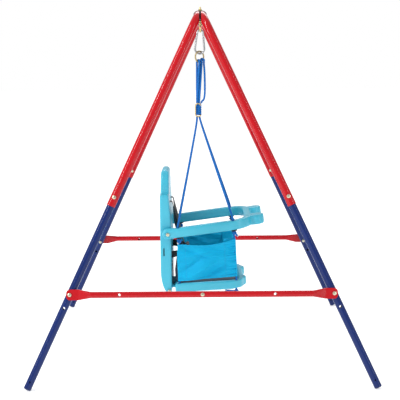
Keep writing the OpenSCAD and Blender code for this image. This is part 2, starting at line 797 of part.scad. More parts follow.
// The head rest, shrunk by inset, which starts inside the lower part.
module head_body(inset) {
    head_x = back_x + head_inset;
    head_from = shoulder_z - head_root;
    head_top = back_low + back_h;
    intersection() {
        across(head_x + inset, head_t - 2 * inset)
            rounded_plate(head_half_w - inset, head_from, head_top - inset, 10, head_r - inset);
        rotate([90, 0, 0]) linear_extrude(2 * head_half_w + 2, center = true) {
            translate([head_x + inset, head_from])
                square([head_t - 2 * inset, head_top - head_from - head_t / 2]);
            translate([head_x + head_t / 2, head_top - head_t / 2]) circle(d = head_t - 2 * inset);
        }
    }
}

module seat_back() {
    slot_w = strap_w + 2 * side_gap;
    color("skyblue") difference() {
        union() {
            back_body(0);
            head_body(0);
        }
        back_hollow();
        tongue_recess(0);
        for (s = [-1, 1]) {
            translate([pivot_x, s * (back_half_w + 1), pivot_z]) rotate([s * 90, 0, 0])
                cylinder(d = screw_d + 2 * thread_fit, h = screw_len);
            translate([back_front - 2 * skin, s * SHOULDER_Y - slot_w / 2, SHOULDER_SLOT_Z - strap_slot])
                cube([3 * skin, slot_w, 2 * strap_slot]);
            translate([back_front - 2 * skin, s * WAIST_SLOT_Y - strap_slot, WAIST_Z - slot_w / 2])
                cube([3 * skin, 2 * strap_slot, slot_w]);
        }
        translate([base_pivot_x, 0, base_pivot_z]) rotate([90, 0, 0])
            cylinder(d = bolt_d + 2 * bolt_fit, h = 3 * back_half_w, center = true);
    }
}

// The air inside the moulding, less the blocks that hold the screws and wall off the recess.
module back_hollow() {
    block = 2 * (back_front - pivot_x);
    difference() {
        union() {
            back_body(skin);
            head_body(skin);
        }
        tongue_recess(skin);
        for (s = [-1, 1]) translate([pivot_x, s * (back_half_w - screw_len / 2), pivot_z])
            cube([block, screw_len, block], center = true);
    }
}

// The recess at the foot of the back that takes the base's tongue.
module tongue_recess(wall) {
    recess_x = base_pivot_x - tongue_r - 1;
    recess_h = 49;
    translate([recess_x - wall, -tongue_half_w - 1 - wall, back_low - 1])
        cube([back_t, 2 * (tongue_half_w + 1 + wall), recess_h + 1 + wall]);
}

// ---------------------------------------------------------------- lap ring
ring_corner_r = 85;
ring_front = 300;            // the front bar's outer face, from the pivot
lobe_r = 28;
lobe_x = 315;
lobe_y = 80;
boss_r = 20;
front_hole = 231;            // the rope holes, from the pivot along the ring
rear_hole = 36;
hole_y = 143.5;

module on_lap_ring() {
    translate([pivot_x, 0, pivot_z]) rotate([0, -ring_rise, 0]) children();
}

// The lap ring's outline from above, shrunk by inset on every side.
module ring_plan(inset) {
    corner_x = ring_front - ring_corner_r;
    translate([-1, -ring_half_w + inset]) square([corner_x + 1, 2 * (ring_half_w - inset)]);
    translate([0, -ring_half_w + ring_corner_r])
        square([ring_front - inset, 2 * (ring_half_w - ring_corner_r)]);
    for (s = [-1, 1]) translate([corner_x, s * (ring_half_w - ring_corner_r)])
        circle(r = ring_corner_r - inset, $fn = 96);
}

module lap_ring() {
    color("lightskyblue") on_lap_ring() difference() {
        union() {
            difference() {
                translate([0, 0, -rail_h / 2]) linear_extrude(rail_h) {
                    ring_plan(0);
                    for (s = [-1, 1]) translate([lobe_x, s * lobe_y]) circle(r = lobe_r);
                }
                translate([0, 0, -rail_h]) linear_extrude(2 * rail_h) {
                    ring_plan(rail_w);
                    translate([-50, -ring_half_w + rail_w]) square([60, 2 * (ring_half_w - rail_w)]);
                }
                translate([-50, -300, -50]) cube([50, 600, 100]);
            }
            for (s = [-1, 1]) translate([0, s * ring_half_w, 0]) rotate([s * 90, 0, 0])
                cylinder(r = boss_r, h = ring_half_w - back_half_w - side_gap);
        }
        for (s = [-1, 1]) {
            translate([0, s * (ring_half_w + 1), 0]) rotate([s * 90, 0, 0])
                cylinder(d = screw_d + 2 * thread_fit, h = ring_half_w);
            for (x = [front_hole, rear_hole]) translate([x, s * hole_y, 0])
                cylinder(d = rope_hole_d, h = 2 * rail_h, center = true);
        }
    }
}

// The screws that the lap ring turns on, driven into the back's sides.
module lap_ring_bolts() {
    grip = ring_half_w - back_half_w;
    color("silver") for (s = [-1, 1]) translate([pivot_x, s * (ring_half_w + side_gap), pivot_z])
        rotate([-s * 90, 0, 0]) {
            translate([0, 0, -grip - screw_len + 4]) cylinder(d = screw_d, h = grip + screw_len - 4 + eps);
            button_head();
        }
}

// Washers between the lap ring's underside and the knots that hold it up.
washer_d = 22;
rope_washer_t = 2;

module rope_washers() {
    color("black") for (s = [-1, 1], x = [front_hole, rear_hole]) on_lap_ring()
        translate([x, s * hole_y, -rail_h / 2 - side_gap - rope_washer_t]) difference() {
            cylinder(d = washer_d, h = rope_washer_t);
            translate([0, 0, -1]) cylinder(d = rope_d + 3, h = rope_washer_t + 2);
        }
}

// ---------------------------------------------------------------- seat base
base_rise = 3.2;             // rise of the base towards the front, in degrees
base_from = 21;              // the base's rear edge, from its pivot
base_front = 265;
base_half_w = 138;
base_corner_r = 48;
base_lobe_x = 248;
base_low = -5;               // the base's underside, from its pivot
pan_rim = 20;
pan_depth = 10;
base_hole_y = 122;
base_hole_d = 11;
REAR_HOLE_X = -80;
FRONT_HOLE_X = 122;

module on_base() {
    translate([base_pivot_x, 0, base_pivot_z]) rotate([0, -base_rise, 0]) children();
}

module base_plan(inset) {
    corner_x = base_front - base_corner_r;
    translate([base_from + inset, -base_half_w + inset])
        square([corner_x - base_from - inset, 2 * (base_half_w - inset)]);
    translate([base_from + inset, -base_half_w + base_corner_r])
        square([base_front - base_from - 2 * inset, 2 * (base_half_w - base_corner_r)]);
    for (s = [-1, 1]) translate([corner_x, s * (base_half_w - base_corner_r)])
        circle(r = base_corner_r - inset, $fn = 96);
}

module seat_base() {
    color("lightskyblue") difference() {
        on_base() difference() {
            union() {
                translate([0, 0, base_low]) linear_extrude(base_t) {
                    base_plan(0);
                    for (s = [-1, 1]) translate([base_lobe_x, s * lobe_y * 0.9]) circle(r = lobe_r);
                }
                translate([0, -tongue_half_w, base_low - 2])
                    cube([base_from + 5, 2 * tongue_half_w, 2 * tongue_r]);
                rotate([90, 0, 0]) cylinder(r = tongue_r, h = 2 * tongue_half_w, center = true);
            }
            translate([0, 0, base_low + base_t - pan_depth]) linear_extrude(base_t) base_plan(pan_rim);
        }
        for (s = [-1, 1]) {
            for (x = [REAR_HOLE_X, FRONT_HOLE_X]) translate([x, s * base_hole_y, 0])
                cylinder(d = base_hole_d, h = 2 * base_pivot_z);
        }
        translate([base_pivot_x, 0, base_pivot_z]) rotate([90, 0, 0])
            cylinder(d = bolt_d + 2 * bolt_fit, h = 3 * back_half_w, center = true);
    }
}

module base_bolt() {
    color("silver") translate([base_pivot_x, -back_half_w, base_pivot_z]) rotate([90, 0, 0])
        button_bolt(2 * back_half_w + nut_h + 3);
}

module base_nut() {
    color("silver") translate([base_pivot_x, back_half_w, base_pivot_z]) rotate([-90, 0, 0]) hex_nut();
}

// ---------------------------------------------------------------- fabric sides
panel_t = 3;
panel_lean = 7.4;            // the ropes draw in towards the base
panel_foot_y = 122;
panel_foot_z = 262;
// The panel's outline in X and Z: the upper edge sags between the ropes.
PANEL = [
    [-84, 266], [126, 283], [127, 355], [126, 421], [100, 414], [70, 405], [30, 400], [-20, 399], [-83, 402]
];

module fabric_panel(side) {
    drop = cos(panel_lean);
    translate([0, side * panel_foot_y, panel_foot_z]) rotate([-side * panel_lean, 0, 0])
        translate([0, side > 0 ? rope_r + side_gap : -rope_r - side_gap - panel_t, 0])
            rotate([90, 0, 0]) mirror([0, 0, 1]) linear_extrude(panel_t)
                polygon([for (q = PANEL) [q[0], (q[1] - panel_foot_z) / drop]]);
}

module right_fabric_panel() { color("deepskyblue") fabric_panel(RIGHT); }
module left_fabric_panel() { color("deepskyblue") fabric_panel(LEFT); }

// ---------------------------------------------------------------- pad and harness
pad_t = 9;
pad_wall_t = 8;
pad_wall_h = 50;
pad_half_w = 104;

module seat_pad() {
    top = base_low + base_t;
    color("slategray") on_base() {
        translate([0, 0, top - pan_depth + side_gap]) linear_extrude(pad_t) base_plan(pan_rim + 1);
        translate([base_from + 2, -pad_half_w, top + side_gap]) cube([pan_rim + 12, 2 * pad_half_w, 6]);
        translate([base_from + pan_rim + 2, -pad_half_w, top - 2]) cube([12, 2 * pad_half_w, 6]);
        translate([base_from + 2, -pad_half_w, top + side_gap]) cube([pad_wall_t, 2 * pad_half_w, pad_wall_h]);
    }
}

// The outline of a strap of thickness t along points in a plane.
function strap_normal(p, i) =
    let (
        a = p[max(i - 1, 0)], b = p[i], c = p[min(i + 1, len(p) - 1)],
        u = i == 0 ? (c - b) / norm(c - b) : (b - a) / norm(b - a),
        v = i == len(p) - 1 ? u : (c - b) / norm(c - b),
        n = [-(u.y + v.y), u.x + v.x]
    )
    n / (n * [-u.y, u.x]);

function strap_outline(p, t) = concat(
    [for (i = [0 : len(p) - 1]) p[i] + t / 2 * strap_normal(p, i)],
    [for (i = [len(p) - 1 : -1 : 0]) p[i] - t / 2 * strap_normal(p, i)]
);

// X and Z along a shoulder strap, X and Y along a waist strap, X and Z along the crotch strap.
SHOULDER = [[-114, 540], [-106, 540], [-102, 528], [-90, 455], [-72, 390], [-66, 371]];
WAIST = [[-114, 100], [-101, 99], [-84, 82], [-66, 50], [-54, 27.5]];
CROTCH = [[-52, 337.6], [-48, 305], [-40, 284], [-28, 273], [-16, 269], [8, 269.5]];
BUCKLE = [-52, 0, 358];

module shoulder_straps() {
    color("black") for (s = [-1, 1]) translate([0, s * SHOULDER_Y + strap_w / 2, 0]) rotate([90, 0, 0])
        linear_extrude(strap_w) polygon(strap_outline(SHOULDER, strap_t));
}

module waist_straps() {
    color("black") for (s = [0, 1]) mirror([0, s, 0]) translate([0, 0, WAIST_Z - strap_w / 2])
        linear_extrude(strap_w) polygon(strap_outline(WAIST, strap_t));
}

module crotch_strap() {
    color("black") translate([0, strap_w / 2, 0]) rotate([90, 0, 0])
        linear_extrude(strap_w) polygon(strap_outline(CROTCH, strap_t));
}

module harness_buckle() {
    buckle_half_w = 27;
    buckle_half_h = 20;
    color("black") translate(BUCKLE) rotate([90, 0, 90])
        linear_extrude(12, center = true) rounded_plate(buckle_half_w, -buckle_half_h, buckle_half_h, 8, 8);
}

rear_upper_tube();
front_upper_tube();
rear_right_leg();
rear_left_leg();
front_right_leg();
front_left_leg();
foot_plugs();
right_crossbar_socket();
right_crossbar_spigot();
left_crossbar_socket();
left_crossbar_spigot();
right_upper_saddle();
middle_upper_saddle();
left_upper_saddle();
right_lower_saddle();
middle_lower_saddle();
left_lower_saddle();
bar_spacers();
leg_bolts();
leg_nuts();
crossbar_end_bolts();
crossbar_end_nuts();
crossbar_middle_bolts();
crossbar_middle_nuts();
saddle_bolts();
saddle_nuts();
eye_bolt();
eye_bolt_washer();
eye_bolt_nut();
snap_hook();
snap_hook_gate();
gate_pin();
rope_ring();
hanger_loops();
slack_loop();
rope_whipping();
height_adjuster();
front_left_rope();
front_right_rope();
rear_left_rope();
rear_right_rope();
rope_washers();
seat_back();
lap_ring();
lap_ring_bolts();
seat_base();
base_bolt();
base_nut();
right_fabric_panel();
left_fabric_panel();
seat_pad();
shoulder_straps();
waist_straps();
crotch_strap();
harness_buckle();
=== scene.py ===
"""Looks for a toddler swing set: painted tube frame, rope hanger and moulded bucket seat."""

import json
import logging
import math
from dataclasses import dataclass, field
from enum import Enum
from typing import Callable, Sequence

import bmesh
import bpy
from mathutils import Matrix, Vector


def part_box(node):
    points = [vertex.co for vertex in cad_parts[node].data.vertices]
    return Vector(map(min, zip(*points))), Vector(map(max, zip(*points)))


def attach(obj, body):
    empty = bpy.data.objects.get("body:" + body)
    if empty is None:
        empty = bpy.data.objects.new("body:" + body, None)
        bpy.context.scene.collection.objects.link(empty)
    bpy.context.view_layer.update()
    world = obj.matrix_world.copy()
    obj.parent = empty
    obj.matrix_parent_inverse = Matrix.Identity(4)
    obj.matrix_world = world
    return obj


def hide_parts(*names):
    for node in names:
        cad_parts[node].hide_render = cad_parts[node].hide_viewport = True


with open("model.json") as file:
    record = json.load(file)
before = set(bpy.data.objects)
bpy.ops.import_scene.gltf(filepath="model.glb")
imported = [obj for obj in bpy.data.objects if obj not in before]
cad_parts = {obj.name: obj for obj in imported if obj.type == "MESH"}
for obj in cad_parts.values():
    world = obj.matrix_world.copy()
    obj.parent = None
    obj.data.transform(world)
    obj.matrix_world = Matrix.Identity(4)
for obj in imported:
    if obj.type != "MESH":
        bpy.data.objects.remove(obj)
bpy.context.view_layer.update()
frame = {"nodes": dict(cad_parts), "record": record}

logging.basicConfig(level=logging.INFO, format="%(name)s: %(message)s")
LOG = logging.getLogger("swing")

MM = 0.001
RIGHT, LEFT = -1, 1
SIDES = ((RIGHT, "right"), (LEFT, "left"))
MERGE_DISTANCE = 0.02 * MM
SENSOR_WIDTH = 36.0
GRAIN_DEPTH = 0.5 * MM
Colour = tuple[float, float, float]
Point = tuple[float, float, float]


class Body(str, Enum):
    """The rigid bodies that pieces ride on."""

    FRAME = "frame"
    HOOK = "hook"
    GATE = "gate"
    SEAT = "seat"
    LAP_RING = "lap_ring"


# ------------------------------------------------------------------ shader groups
class Graph:
    """A short way to write node trees."""

    def __init__(self, tree: bpy.types.NodeTree) -> None:
        """Wraps a node tree."""
        self.tree = tree

    def node(self, kind: str, values: dict | None = None, **props) -> bpy.types.Node:
        """Adds a node.

        Args:
            kind: The node's type name.
            values: Values or links for its inputs, by name or index.
            props: Properties to set on it.

        Returns:
            The new node.
        """
        made = self.tree.nodes.new(kind)
        for name, value in props.items():
            setattr(made, name, value)
        for key, value in (values or {}).items():
            self.put(made.inputs[key], value)
        return made

    def put(self, socket: bpy.types.NodeSocket, value) -> None:
        """Links value to socket if it is an output, or else sets it."""
        if isinstance(value, bpy.types.NodeSocket):
            self.tree.links.new(value, socket)
        else:
            socket.default_value = value

    def math(self, operation: str, *values) -> bpy.types.NodeSocket:
        """Returns the result of a Math node on the values."""
        return self.node("ShaderNodeMath", dict(enumerate(values)), operation=operation).outputs[0]

    def mix(self, factor, a, b) -> bpy.types.NodeSocket:
        """Returns colour a mixed towards colour b by factor."""
        made = self.node("ShaderNodeMix", {0: factor, 6: a, 7: b}, data_type="RGBA")
        return made.outputs[2]

    def ramp(self, value, low: float, high: float, to_low: float,
             to_high: float) -> bpy.types.NodeSocket:
        """Returns value mapped from one range to another, clamped."""
        made = self.node("ShaderNodeMapRange", {0: value, 1: low, 2: high, 3: to_low, 4: to_high})
        return made.outputs[0]


def new_group(name: str, inputs: dict[str, str], outputs: Sequence[str]) -> tuple[Graph, object, object]:
    """Starts a shader node group.

    Args:
        name: The group's name.
        inputs: Socket kinds by name.
        outputs: The names of its float outputs.

    Returns:
        The graph, its input node and its output node.
    """
    tree = bpy.data.node_groups.new(name, "ShaderNodeTree")
    for key, kind in inputs.items():
        tree.interface.new_socket(key, in_out="INPUT", socket_type=kind)
    for key in outputs:
        tree.interface.new_socket(key, in_out="OUTPUT", socket_type="NodeSocketFloat")
    graph = Graph(tree)
    return graph, graph.node("NodeGroupInput"), graph.node("NodeGroupOutput")


VECTOR, FLOAT = "NodeSocketVector", "NodeSocketFloat"


def grain_group() -> bpy.types.NodeTree:
    """Fine grain and slow mottling of a moulded or painted surface."""
    g, i, o = new_group("grain", {"Vector": VECTOR, "Scale": FLOAT}, ["Height", "Mottle", "Scuff"])
    fine = g.node("ShaderNodeTexNoise", {"Vector": i.outputs[0], "Scale": i.outputs[1], "Detail": 3.0})
    slow = g.node("ShaderNodeTexNoise", {"Vector": i.outputs[0], "Scale": 9.0, "Detail": 4.0})
    marks = g.node("ShaderNodeTexNoise", {"Vector": i.outputs[0], "Scale": 60.0, "Detail": 8.0,
                                          "Roughness": 0.7})
    g.put(o.inputs[0], fine.outputs[0])
    g.put(o.inputs[1], slow.outputs[0])
    g.put(o.inputs[2], g.ramp(marks.outputs[0], 0.62, 0.72, 0.0, 1.0))
    return g.tree


def weave_group() -> bpy.types.NodeTree:
    """A plain weave on a UV map in metres, with a mask of the low gaps between threads for painted shade."""
    g, i, o = new_group("weave", {"Vector": VECTOR, "Pitch": FLOAT}, ["Height", "Painted Shade"])
    parts = g.node("ShaderNodeSeparateXYZ", {0: i.outputs[0]})
    turn = g.math("DIVIDE", math.pi, i.outputs[1])
    u = g.math("MULTIPLY", parts.outputs[0], turn)
    v = g.math("MULTIPLY", parts.outputs[1], turn)
    su, sv = g.math("SINE", u), g.math("SINE", v)
    over = g.math("MULTIPLY", 0.4, g.math("COSINE", v))
    warp = g.math("MULTIPLY", g.math("ABSOLUTE", su), g.math("ADD", 0.6, over))
    under = g.math("MULTIPLY", 0.4, g.math("COSINE", u))
    weft = g.math("MULTIPLY", g.math("ABSOLUTE", sv), g.math("SUBTRACT", 0.6, under))
    top = g.math("MAXIMUM", warp, weft)
    g.put(o.inputs[0], top)
    # The low parts of the weave make the mask for painted shade between threads.
    g.put(o.inputs[1], g.ramp(top, 0.15, 0.45, 1.0, 0.0))
    return g.tree


def braid_group() -> bpy.types.NodeTree:
    """Strands of a braid on a UV map: u once round the rope, v along it in metres, with a mask of the low gaps
    between strands for painted shade.
    """
    g, i, o = new_group("braid", {"Vector": VECTOR, "Pitch": FLOAT}, ["Height", "Painted Shade"])
    parts = g.node("ShaderNodeSeparateXYZ", {0: i.outputs[0]})
    around = g.math("MULTIPLY", parts.outputs[0], 8 * math.pi)
    along = g.math("MULTIPLY", parts.outputs[1], g.math("DIVIDE", 2 * math.pi, i.outputs[1]))
    one = g.math("SINE", g.math("ADD", around, along))
    two = g.math("SINE", g.math("SUBTRACT", around, along))
    top = g.math("MAXIMUM", one, two)
    g.put(o.inputs[0], top)
    # The low parts between strands make the mask for painted shade.
    g.put(o.inputs[1], g.ramp(top, -0.2, 0.5, 1.0, 0.0))
    return g.tree


GROUPS: dict[str, bpy.types.NodeTree] = {}


def group(name: str) -> bpy.types.NodeTree:
    """Returns a shared shader group, made on first use."""
    makers = {"grain": grain_group, "weave": weave_group, "braid": braid_group}
    if name not in GROUPS:
        GROUPS[name] = makers[name]()
    return GROUPS[name]


# ------------------------------------------------------------------ finishes
@dataclass(frozen=True)
class Finish:
    """A finish with grain, mottling and scuffs on object coordinates."""

    name: str
    slot: str
    colour: Colour
    second: Colour
    roughness: tuple[float, float] = (0.3, 0.45)
    metallic: float = 0.0
    coat: float = 0.0
    grain: float = 400.0
    bump: float = 0.05
    scuff: Colour | None = None
    sheen: float = 0.0
    subsurface: float = 0.0
    specular: float = 0.5

    def start(self) -> tuple[bpy.types.Material, Graph, bpy.types.Node]:
        """Makes the material with its shader's constant values."""
        material = bpy.data.materials.new(self.name)
        material.use_nodes = True
        graph = Graph(material.node_tree)
        shader = material.node_tree.nodes["Principled BSDF"]
        shader.inputs["Metallic"].default_value = self.metallic
        shader.inputs["Coat Weight"].default_value = self.coat
        shader.inputs["Coat Roughness"].default_value = 0.08
        shader.inputs["Sheen Weight"].default_value = self.sheen
        shader.inputs["Sheen Roughness"].default_value = 0.4
        shader.inputs["Specular IOR Level"].default_value = self.specular
        shader.inputs["Subsurface Weight"].default_value = self.subsurface
        shader.inputs["Subsurface Radius"].default_value = (0.004, 0.006, 0.008)
        return material, graph, shader

    def build(self) -> bpy.types.Material:
        """Makes the whole material."""
        material, g, shader = self.start()
        place = g.node("ShaderNodeTexCoord").outputs["Object"]
        grain = g.node("ShaderNodeGroup", node_tree=group("grain"))
        g.put(grain.inputs[0], place)
        g.put(grain.inputs[1], self.grain)
        colour = g.mix(g.ramp(grain.outputs[1], 0.35, 0.65, 0, 1), (*self.colour, 1), (*self.second, 1))
        if self.scuff:
            colour = g.mix(g.math("MULTIPLY", grain.outputs[2], 0.35), colour, (*self.scuff, 1))
        rough = g.ramp(grain.outputs[1], 0.3, 0.7, *self.roughness)
        rough = g.math("ADD", rough, g.math("MULTIPLY", grain.outputs[2], 0.12))
        g.put(shader.inputs["Base Color"], colour)
        g.put(shader.inputs["Roughness"], rough)
        bump = g.node("ShaderNodeBump", {"Strength": self.bump, "Distance": GRAIN_DEPTH,
                                         "Height": grain.outputs[0]})
        g.put(shader.inputs["Normal"], bump.outputs[0])
        return material


@dataclass(frozen=True)
class Textile(Finish):
    """A woven or braided finish on the piece's own UV map, whose gaps between threads are darkened with painted
    shade.
    """

    pattern: str = "weave"
    pitch: float = 0.0012
    # Painted shade: the darker colour laid into the gaps between threads.
    painted_gap_shade: Colour = (0.0, 0.0, 0.0)
    depth: float = 0.0004

    def build(self) -> bpy.types.Material:
        """Makes the whole material."""
        material, g, shader = self.start()
        coordinates = g.node("ShaderNodeTexCoord")
        cloth = g.node("ShaderNodeGroup", node_tree=group(self.pattern))
        g.put(cloth.inputs[0], coordinates.outputs["UV"])
        g.put(cloth.inputs[1], self.pitch)
        grain = g.node("ShaderNodeGroup", node_tree=group("grain"))
        g.put(grain.inputs[0], coordinates.outputs["Object"])
        g.put(grain.inputs[1], self.grain)
        colour = g.mix(g.ramp(grain.outputs[1], 0.35, 0.65, 0, 1), (*self.colour, 1), (*self.second, 1))
        # Painted shade: the gaps between threads are mixed towards the darker colour.
        colour = g.mix(g.math("MULTIPLY", cloth.outputs[1], 0.7), colour, (*self.painted_gap_shade, 1))
        rough = g.ramp(grain.outputs[1], 0.3, 0.7, *self.roughness)
        height = g.math("ADD", cloth.outputs[0], g.math("MULTIPLY", grain.outputs[0], 0.25))
        g.put(shader.inputs["Base Color"], colour)
        g.put(shader.inputs["Roughness"], rough)
        bump = g.node("ShaderNodeBump", {"Strength": self.bump, "Distance": self.depth, "Height": height})
        g.put(shader.inputs["Normal"], bump.outputs[0])
        return material


RED_PAINT = Finish(
    "red powder coat", "red_paint", (0.46, 0.002, 0.008), (0.42, 0.002, 0.007), (0.22, 0.30),
    specular=0.10, coat=0.42, grain=900.0, bump=0.02, scuff=(0.62, 0.05, 0.05))
BLUE_PAINT = Finish(
    "blue powder coat", "blue_paint", (0.003, 0.016, 0.110), (0.004, 0.019, 0.125), (0.22, 0.32),
    specular=0.08, coat=0.40, grain=900.0, bump=0.02, scuff=(0.05, 0.08, 0.20))
FOOT = Finish(
    "foot plastic", "foot_plastic", (0.010, 0.02, 0.09), (0.014, 0.026, 0.10), (0.5, 0.65),
    grain=500.0, bump=0.15, scuff=(0.10, 0.11, 0.14))
BLACK = Finish(
    "black plastic", "black_plastic", (0.013, 0.013, 0.014), (0.020, 0.020, 0.022), (0.42, 0.55),
    grain=700.0, bump=0.18, scuff=(0.06, 0.06, 0.06))
ZINC = Finish(
    "bright zinc", "zinc", (0.62, 0.59, 0.44), (0.50, 0.49, 0.38), (0.24, 0.40),
    metallic=1.0, grain=300.0, bump=0.06, scuff=(0.35, 0.33, 0.30))
GOLD_ZINC = Finish(
    "yellow zinc", "gold_zinc", (0.70, 0.52, 0.20), (0.60, 0.48, 0.26), (0.26, 0.42),
    metallic=1.0, grain=300.0, bump=0.06, scuff=(0.40, 0.32, 0.18))
HOOK = Finish(
    "zinc-plated rod", "hook_steel", (0.40, 0.41, 0.42), (0.32, 0.33, 0.34), (0.20, 0.34),
    metallic=1.0, grain=260.0, bump=0.05, scuff=(0.36, 0.36, 0.35))
BRONZE = Finish(
    "dulled yellow zinc", "ring_bronze", (0.42, 0.33, 0.17), (0.34, 0.28, 0.18), (0.28, 0.44),
    metallic=1.0, grain=260.0, bump=0.06, scuff=(0.25, 0.22, 0.18))
SEAT = Finish(
    "moulded seat plastic", "seat_plastic", (0.045, 0.43, 0.58), (0.038, 0.41, 0.56), (0.30, 0.40),
    grain=700.0, bump=0.12, scuff=(0.16, 0.55, 0.72), subsurface=0.05, coat=0.1)
# Each textile's gap colour is painted shade between its threads.
ROPE = Textile(
    "braided rope", "rope", (0.006, 0.145, 0.46), (0.008, 0.165, 0.52), (0.55, 0.7), grain=1500.0,
    bump=0.7, sheen=0.03, specular=0.2, pattern="braid", pitch=0.009, painted_gap_shade=(0.003, 0.04, 0.30), depth=0.0006)
NYLON = Textile(
    "side panel nylon", "seat_fabric", (0.001, 0.39, 0.66), (0.001, 0.42, 0.70), (0.48, 0.6), grain=900.0,
    bump=0.35, sheen=0.03, specular=0.15, subsurface=0.25, pitch=0.0011, painted_gap_shade=(0.0, 0.26, 0.52), depth=0.0003)
PAD = Textile(
    "pad cover", "pad_fabric", (0.085, 0.115, 0.155), (0.10, 0.13, 0.175), (0.7, 0.85), grain=900.0,
    bump=0.5, sheen=0.35, pitch=0.0016, painted_gap_shade=(0.03, 0.04, 0.06), depth=0.0004)
WEBBING = Textile(
    "black webbing", "webbing", (0.012, 0.012, 0.013), (0.018, 0.018, 0.02), (0.55, 0.7), grain=900.0,
    bump=0.8, sheen=0.3, pitch=0.0022, painted_gap_shade=(0.003, 0.003, 0.003), depth=0.0006)
THREAD = Finish(
    "sewing thread", "seat_fabric", (0.003, 0.28, 0.56), (0.004, 0.32, 0.60), (0.6, 0.7),
    grain=2000.0, bump=0.2)
CUT_END = Finish(
    "sealed rope end", "zinc", (0.55, 0.56, 0.57), (0.45, 0.46, 0.47), (0.3, 0.45),
    metallic=0.8, grain=400.0, bump=0.1)

MATERIALS: dict[str, bpy.types.Material] = {}


def dress(piece: bpy.types.Object, finish: Finish) -> None:
    """Gives a piece its one material."""
    if finish.name not in MATERIALS:
        MATERIALS[finish.name] = finish.build()
    piece.data.materials.clear()
    piece.data.materials.append(MATERIALS[finish.name])


def settle(piece: bpy.types.Object, finish: Finish, body: Body, *nodes: str,
           sharp: float = 35.0) -> bpy.types.Object:
    """Finishes a new piece: shading, material, body and the nodes that it stands for.

    Args:
        piece: The new piece, with its place in its mesh.
        finish: Its finish.
        body: The body that it rides on.
        nodes: The CAD nodes that it replaces.
        sharp: Edges above this angle stay sharp.

    Returns:
        The piece.
    """
    activate(piece)
    bpy.ops.object.shade_smooth_by_angle(angle=math.radians(sharp))
    dress(piece, finish)
    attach(piece, body.value)
    if nodes:
        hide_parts(*nodes)
    LOG.info("%s: %d faces on %s", piece.name, len(piece.data.polygons), body.value)
    return piece


# ------------------------------------------------------------------ modelling helpers
def activate(piece: bpy.types.Object) -> None:
    """Selects only this piece and makes it active."""
    if bpy.context.mode != "OBJECT":
        bpy.ops.object.mode_set(mode="OBJECT")
    bpy.ops.object.select_all(action="DESELECT")
    piece.hide_viewport = False
    piece.select_set(True)
    bpy.context.view_layer.objects.active = piece


def apply_modifier(piece: bpy.types.Object, kind: str, **settings) -> None:
    """Adds a modifier with the settings and applies it."""
    activate(piece)
    made = piece.modifiers.new(kind.lower(), kind)
    for name, value in settings.items():
        setattr(made, name, value)
    bpy.ops.object.modifier_apply(modifier=made.name)


def set_down(piece: bpy.types.Object) -> None:
    """Moves a piece's place, turn and size into its mesh."""
    activate(piece)
    bpy.ops.object.transform_apply(location=True, rotation=True, scale=True)


def block(name: str, low: Point, high: Point) -> bpy.types.Object:
    """A box between two corners."""
    bpy.ops.object.select_all(action="DESELECT")
    centre = [(a + b) / 2 for a, b in zip(low, high)]
    bpy.ops.mesh.primitive_cube_add(size=1, location=centre)
    piece = bpy.context.object
    piece.name = name
    piece.scale = [b - a for a, b in zip(low, high)]
    set_down(piece)
    return piece


def rod(name: str, start: Point, end: Point, radius: float, sides: int = 48) -> bpy.types.Object:
    """A cylinder between two points."""
    a, b = Vector(start), Vector(end)
    bpy.ops.object.select_all(action="DESELECT")
    bpy.ops.mesh.primitive_cylinder_add(vertices=sides, radius=radius, depth=(b - a).length,
                                        location=(a + b) / 2)
    piece = bpy.context.object
    piece.name = name
    piece.rotation_mode = "QUATERNION"
    piece.rotation_quaternion = (b - a).to_track_quat("Z", "Y")
    set_down(piece)
    return piece


def combine(piece: bpy.types.Object, tool: bpy.types.Object, operation: str) -> None:
    """Joins a tool to the piece, or cuts it away, and removes the tool."""
    apply_modifier(piece, "BOOLEAN", object=tool, operation=operation, solver="EXACT")
    bpy.data.objects.remove(tool)


def cut(piece: bpy.types.Object, tool: bpy.types.Object) -> None:
    """Cuts a tool away from the piece."""
    combine(piece, tool, "DIFFERENCE")


def copy_node(node: str, name: str) -> bpy.types.Object:
    """A merged copy of a CAD node, to be shaped further."""
    source = frame["nodes"][node]
    mesh = source.data.copy()
    piece = bpy.data.objects.new(name, mesh)
    bpy.context.scene.collection.objects.link(piece)
    activate(piece)
    bpy.ops.object.mode_set(mode="EDIT")
    bpy.ops.mesh.select_all(action="SELECT")
    bpy.ops.mesh.remove_doubles(threshold=MERGE_DISTANCE)
    bpy.ops.mesh.normals_make_consistent(inside=False)
    bpy.ops.object.mode_set(mode="OBJECT")
    return piece


def soften(piece: bpy.types.Object, voxel: float, passes: int) -> None:
    """Rounds every edge as a blow mould does: an even mesh, then a few smoothing passes."""
    apply_modifier(piece, "REMESH", mode="VOXEL", voxel_size=voxel, adaptivity=0.0)
    apply_modifier(piece, "SMOOTH", factor=0.5, iterations=passes)


def smooth_path(points: Sequence[Sequence[float]], step: float) -> list[Vector]:
    """Points about a step apart on a smooth curve through the given ones."""
    knots = [Vector(p) for p in points]
    out: list[Vector] = []
    for i in range(len(knots) - 1):
        a, b, c, d = knots[max(i - 1, 0)], knots[i], knots[i + 1], knots[min(i + 2, len(knots) - 1)]
        count = max(1, round((c - b).length / step))
        for k in range(count):
            t = k / count
            out.append(0.5 * (2 * b + (c - a) * t + (2 * a - 5 * b + 4 * c - d) * t * t
                              + (3 * b - a - 3 * c + d) * t * t * t))
    out.append(knots[-1])
    return out


def carried_frames(path: Sequence[Vector], side: Vector | None = None) -> list[tuple[Vector, Vector]]:
    """Two directions square to the path at each point, carried along it without twist."""
    frames: list[tuple[Vector, Vector]] = []
    for i in range(len(path)):
        along = (path[min(i + 1, len(path) - 1)] - path[max(i - 1, 0)]).normalized()
        guess = side if side is not None else (Vector((0, 1, 0)) if abs(along.y) < 0.9 else Vector((1, 0, 0)))
        across = (guess - along * guess.dot(along)).normalized()
        frames.append((across, along.cross(across)))
        side = across
    return frames


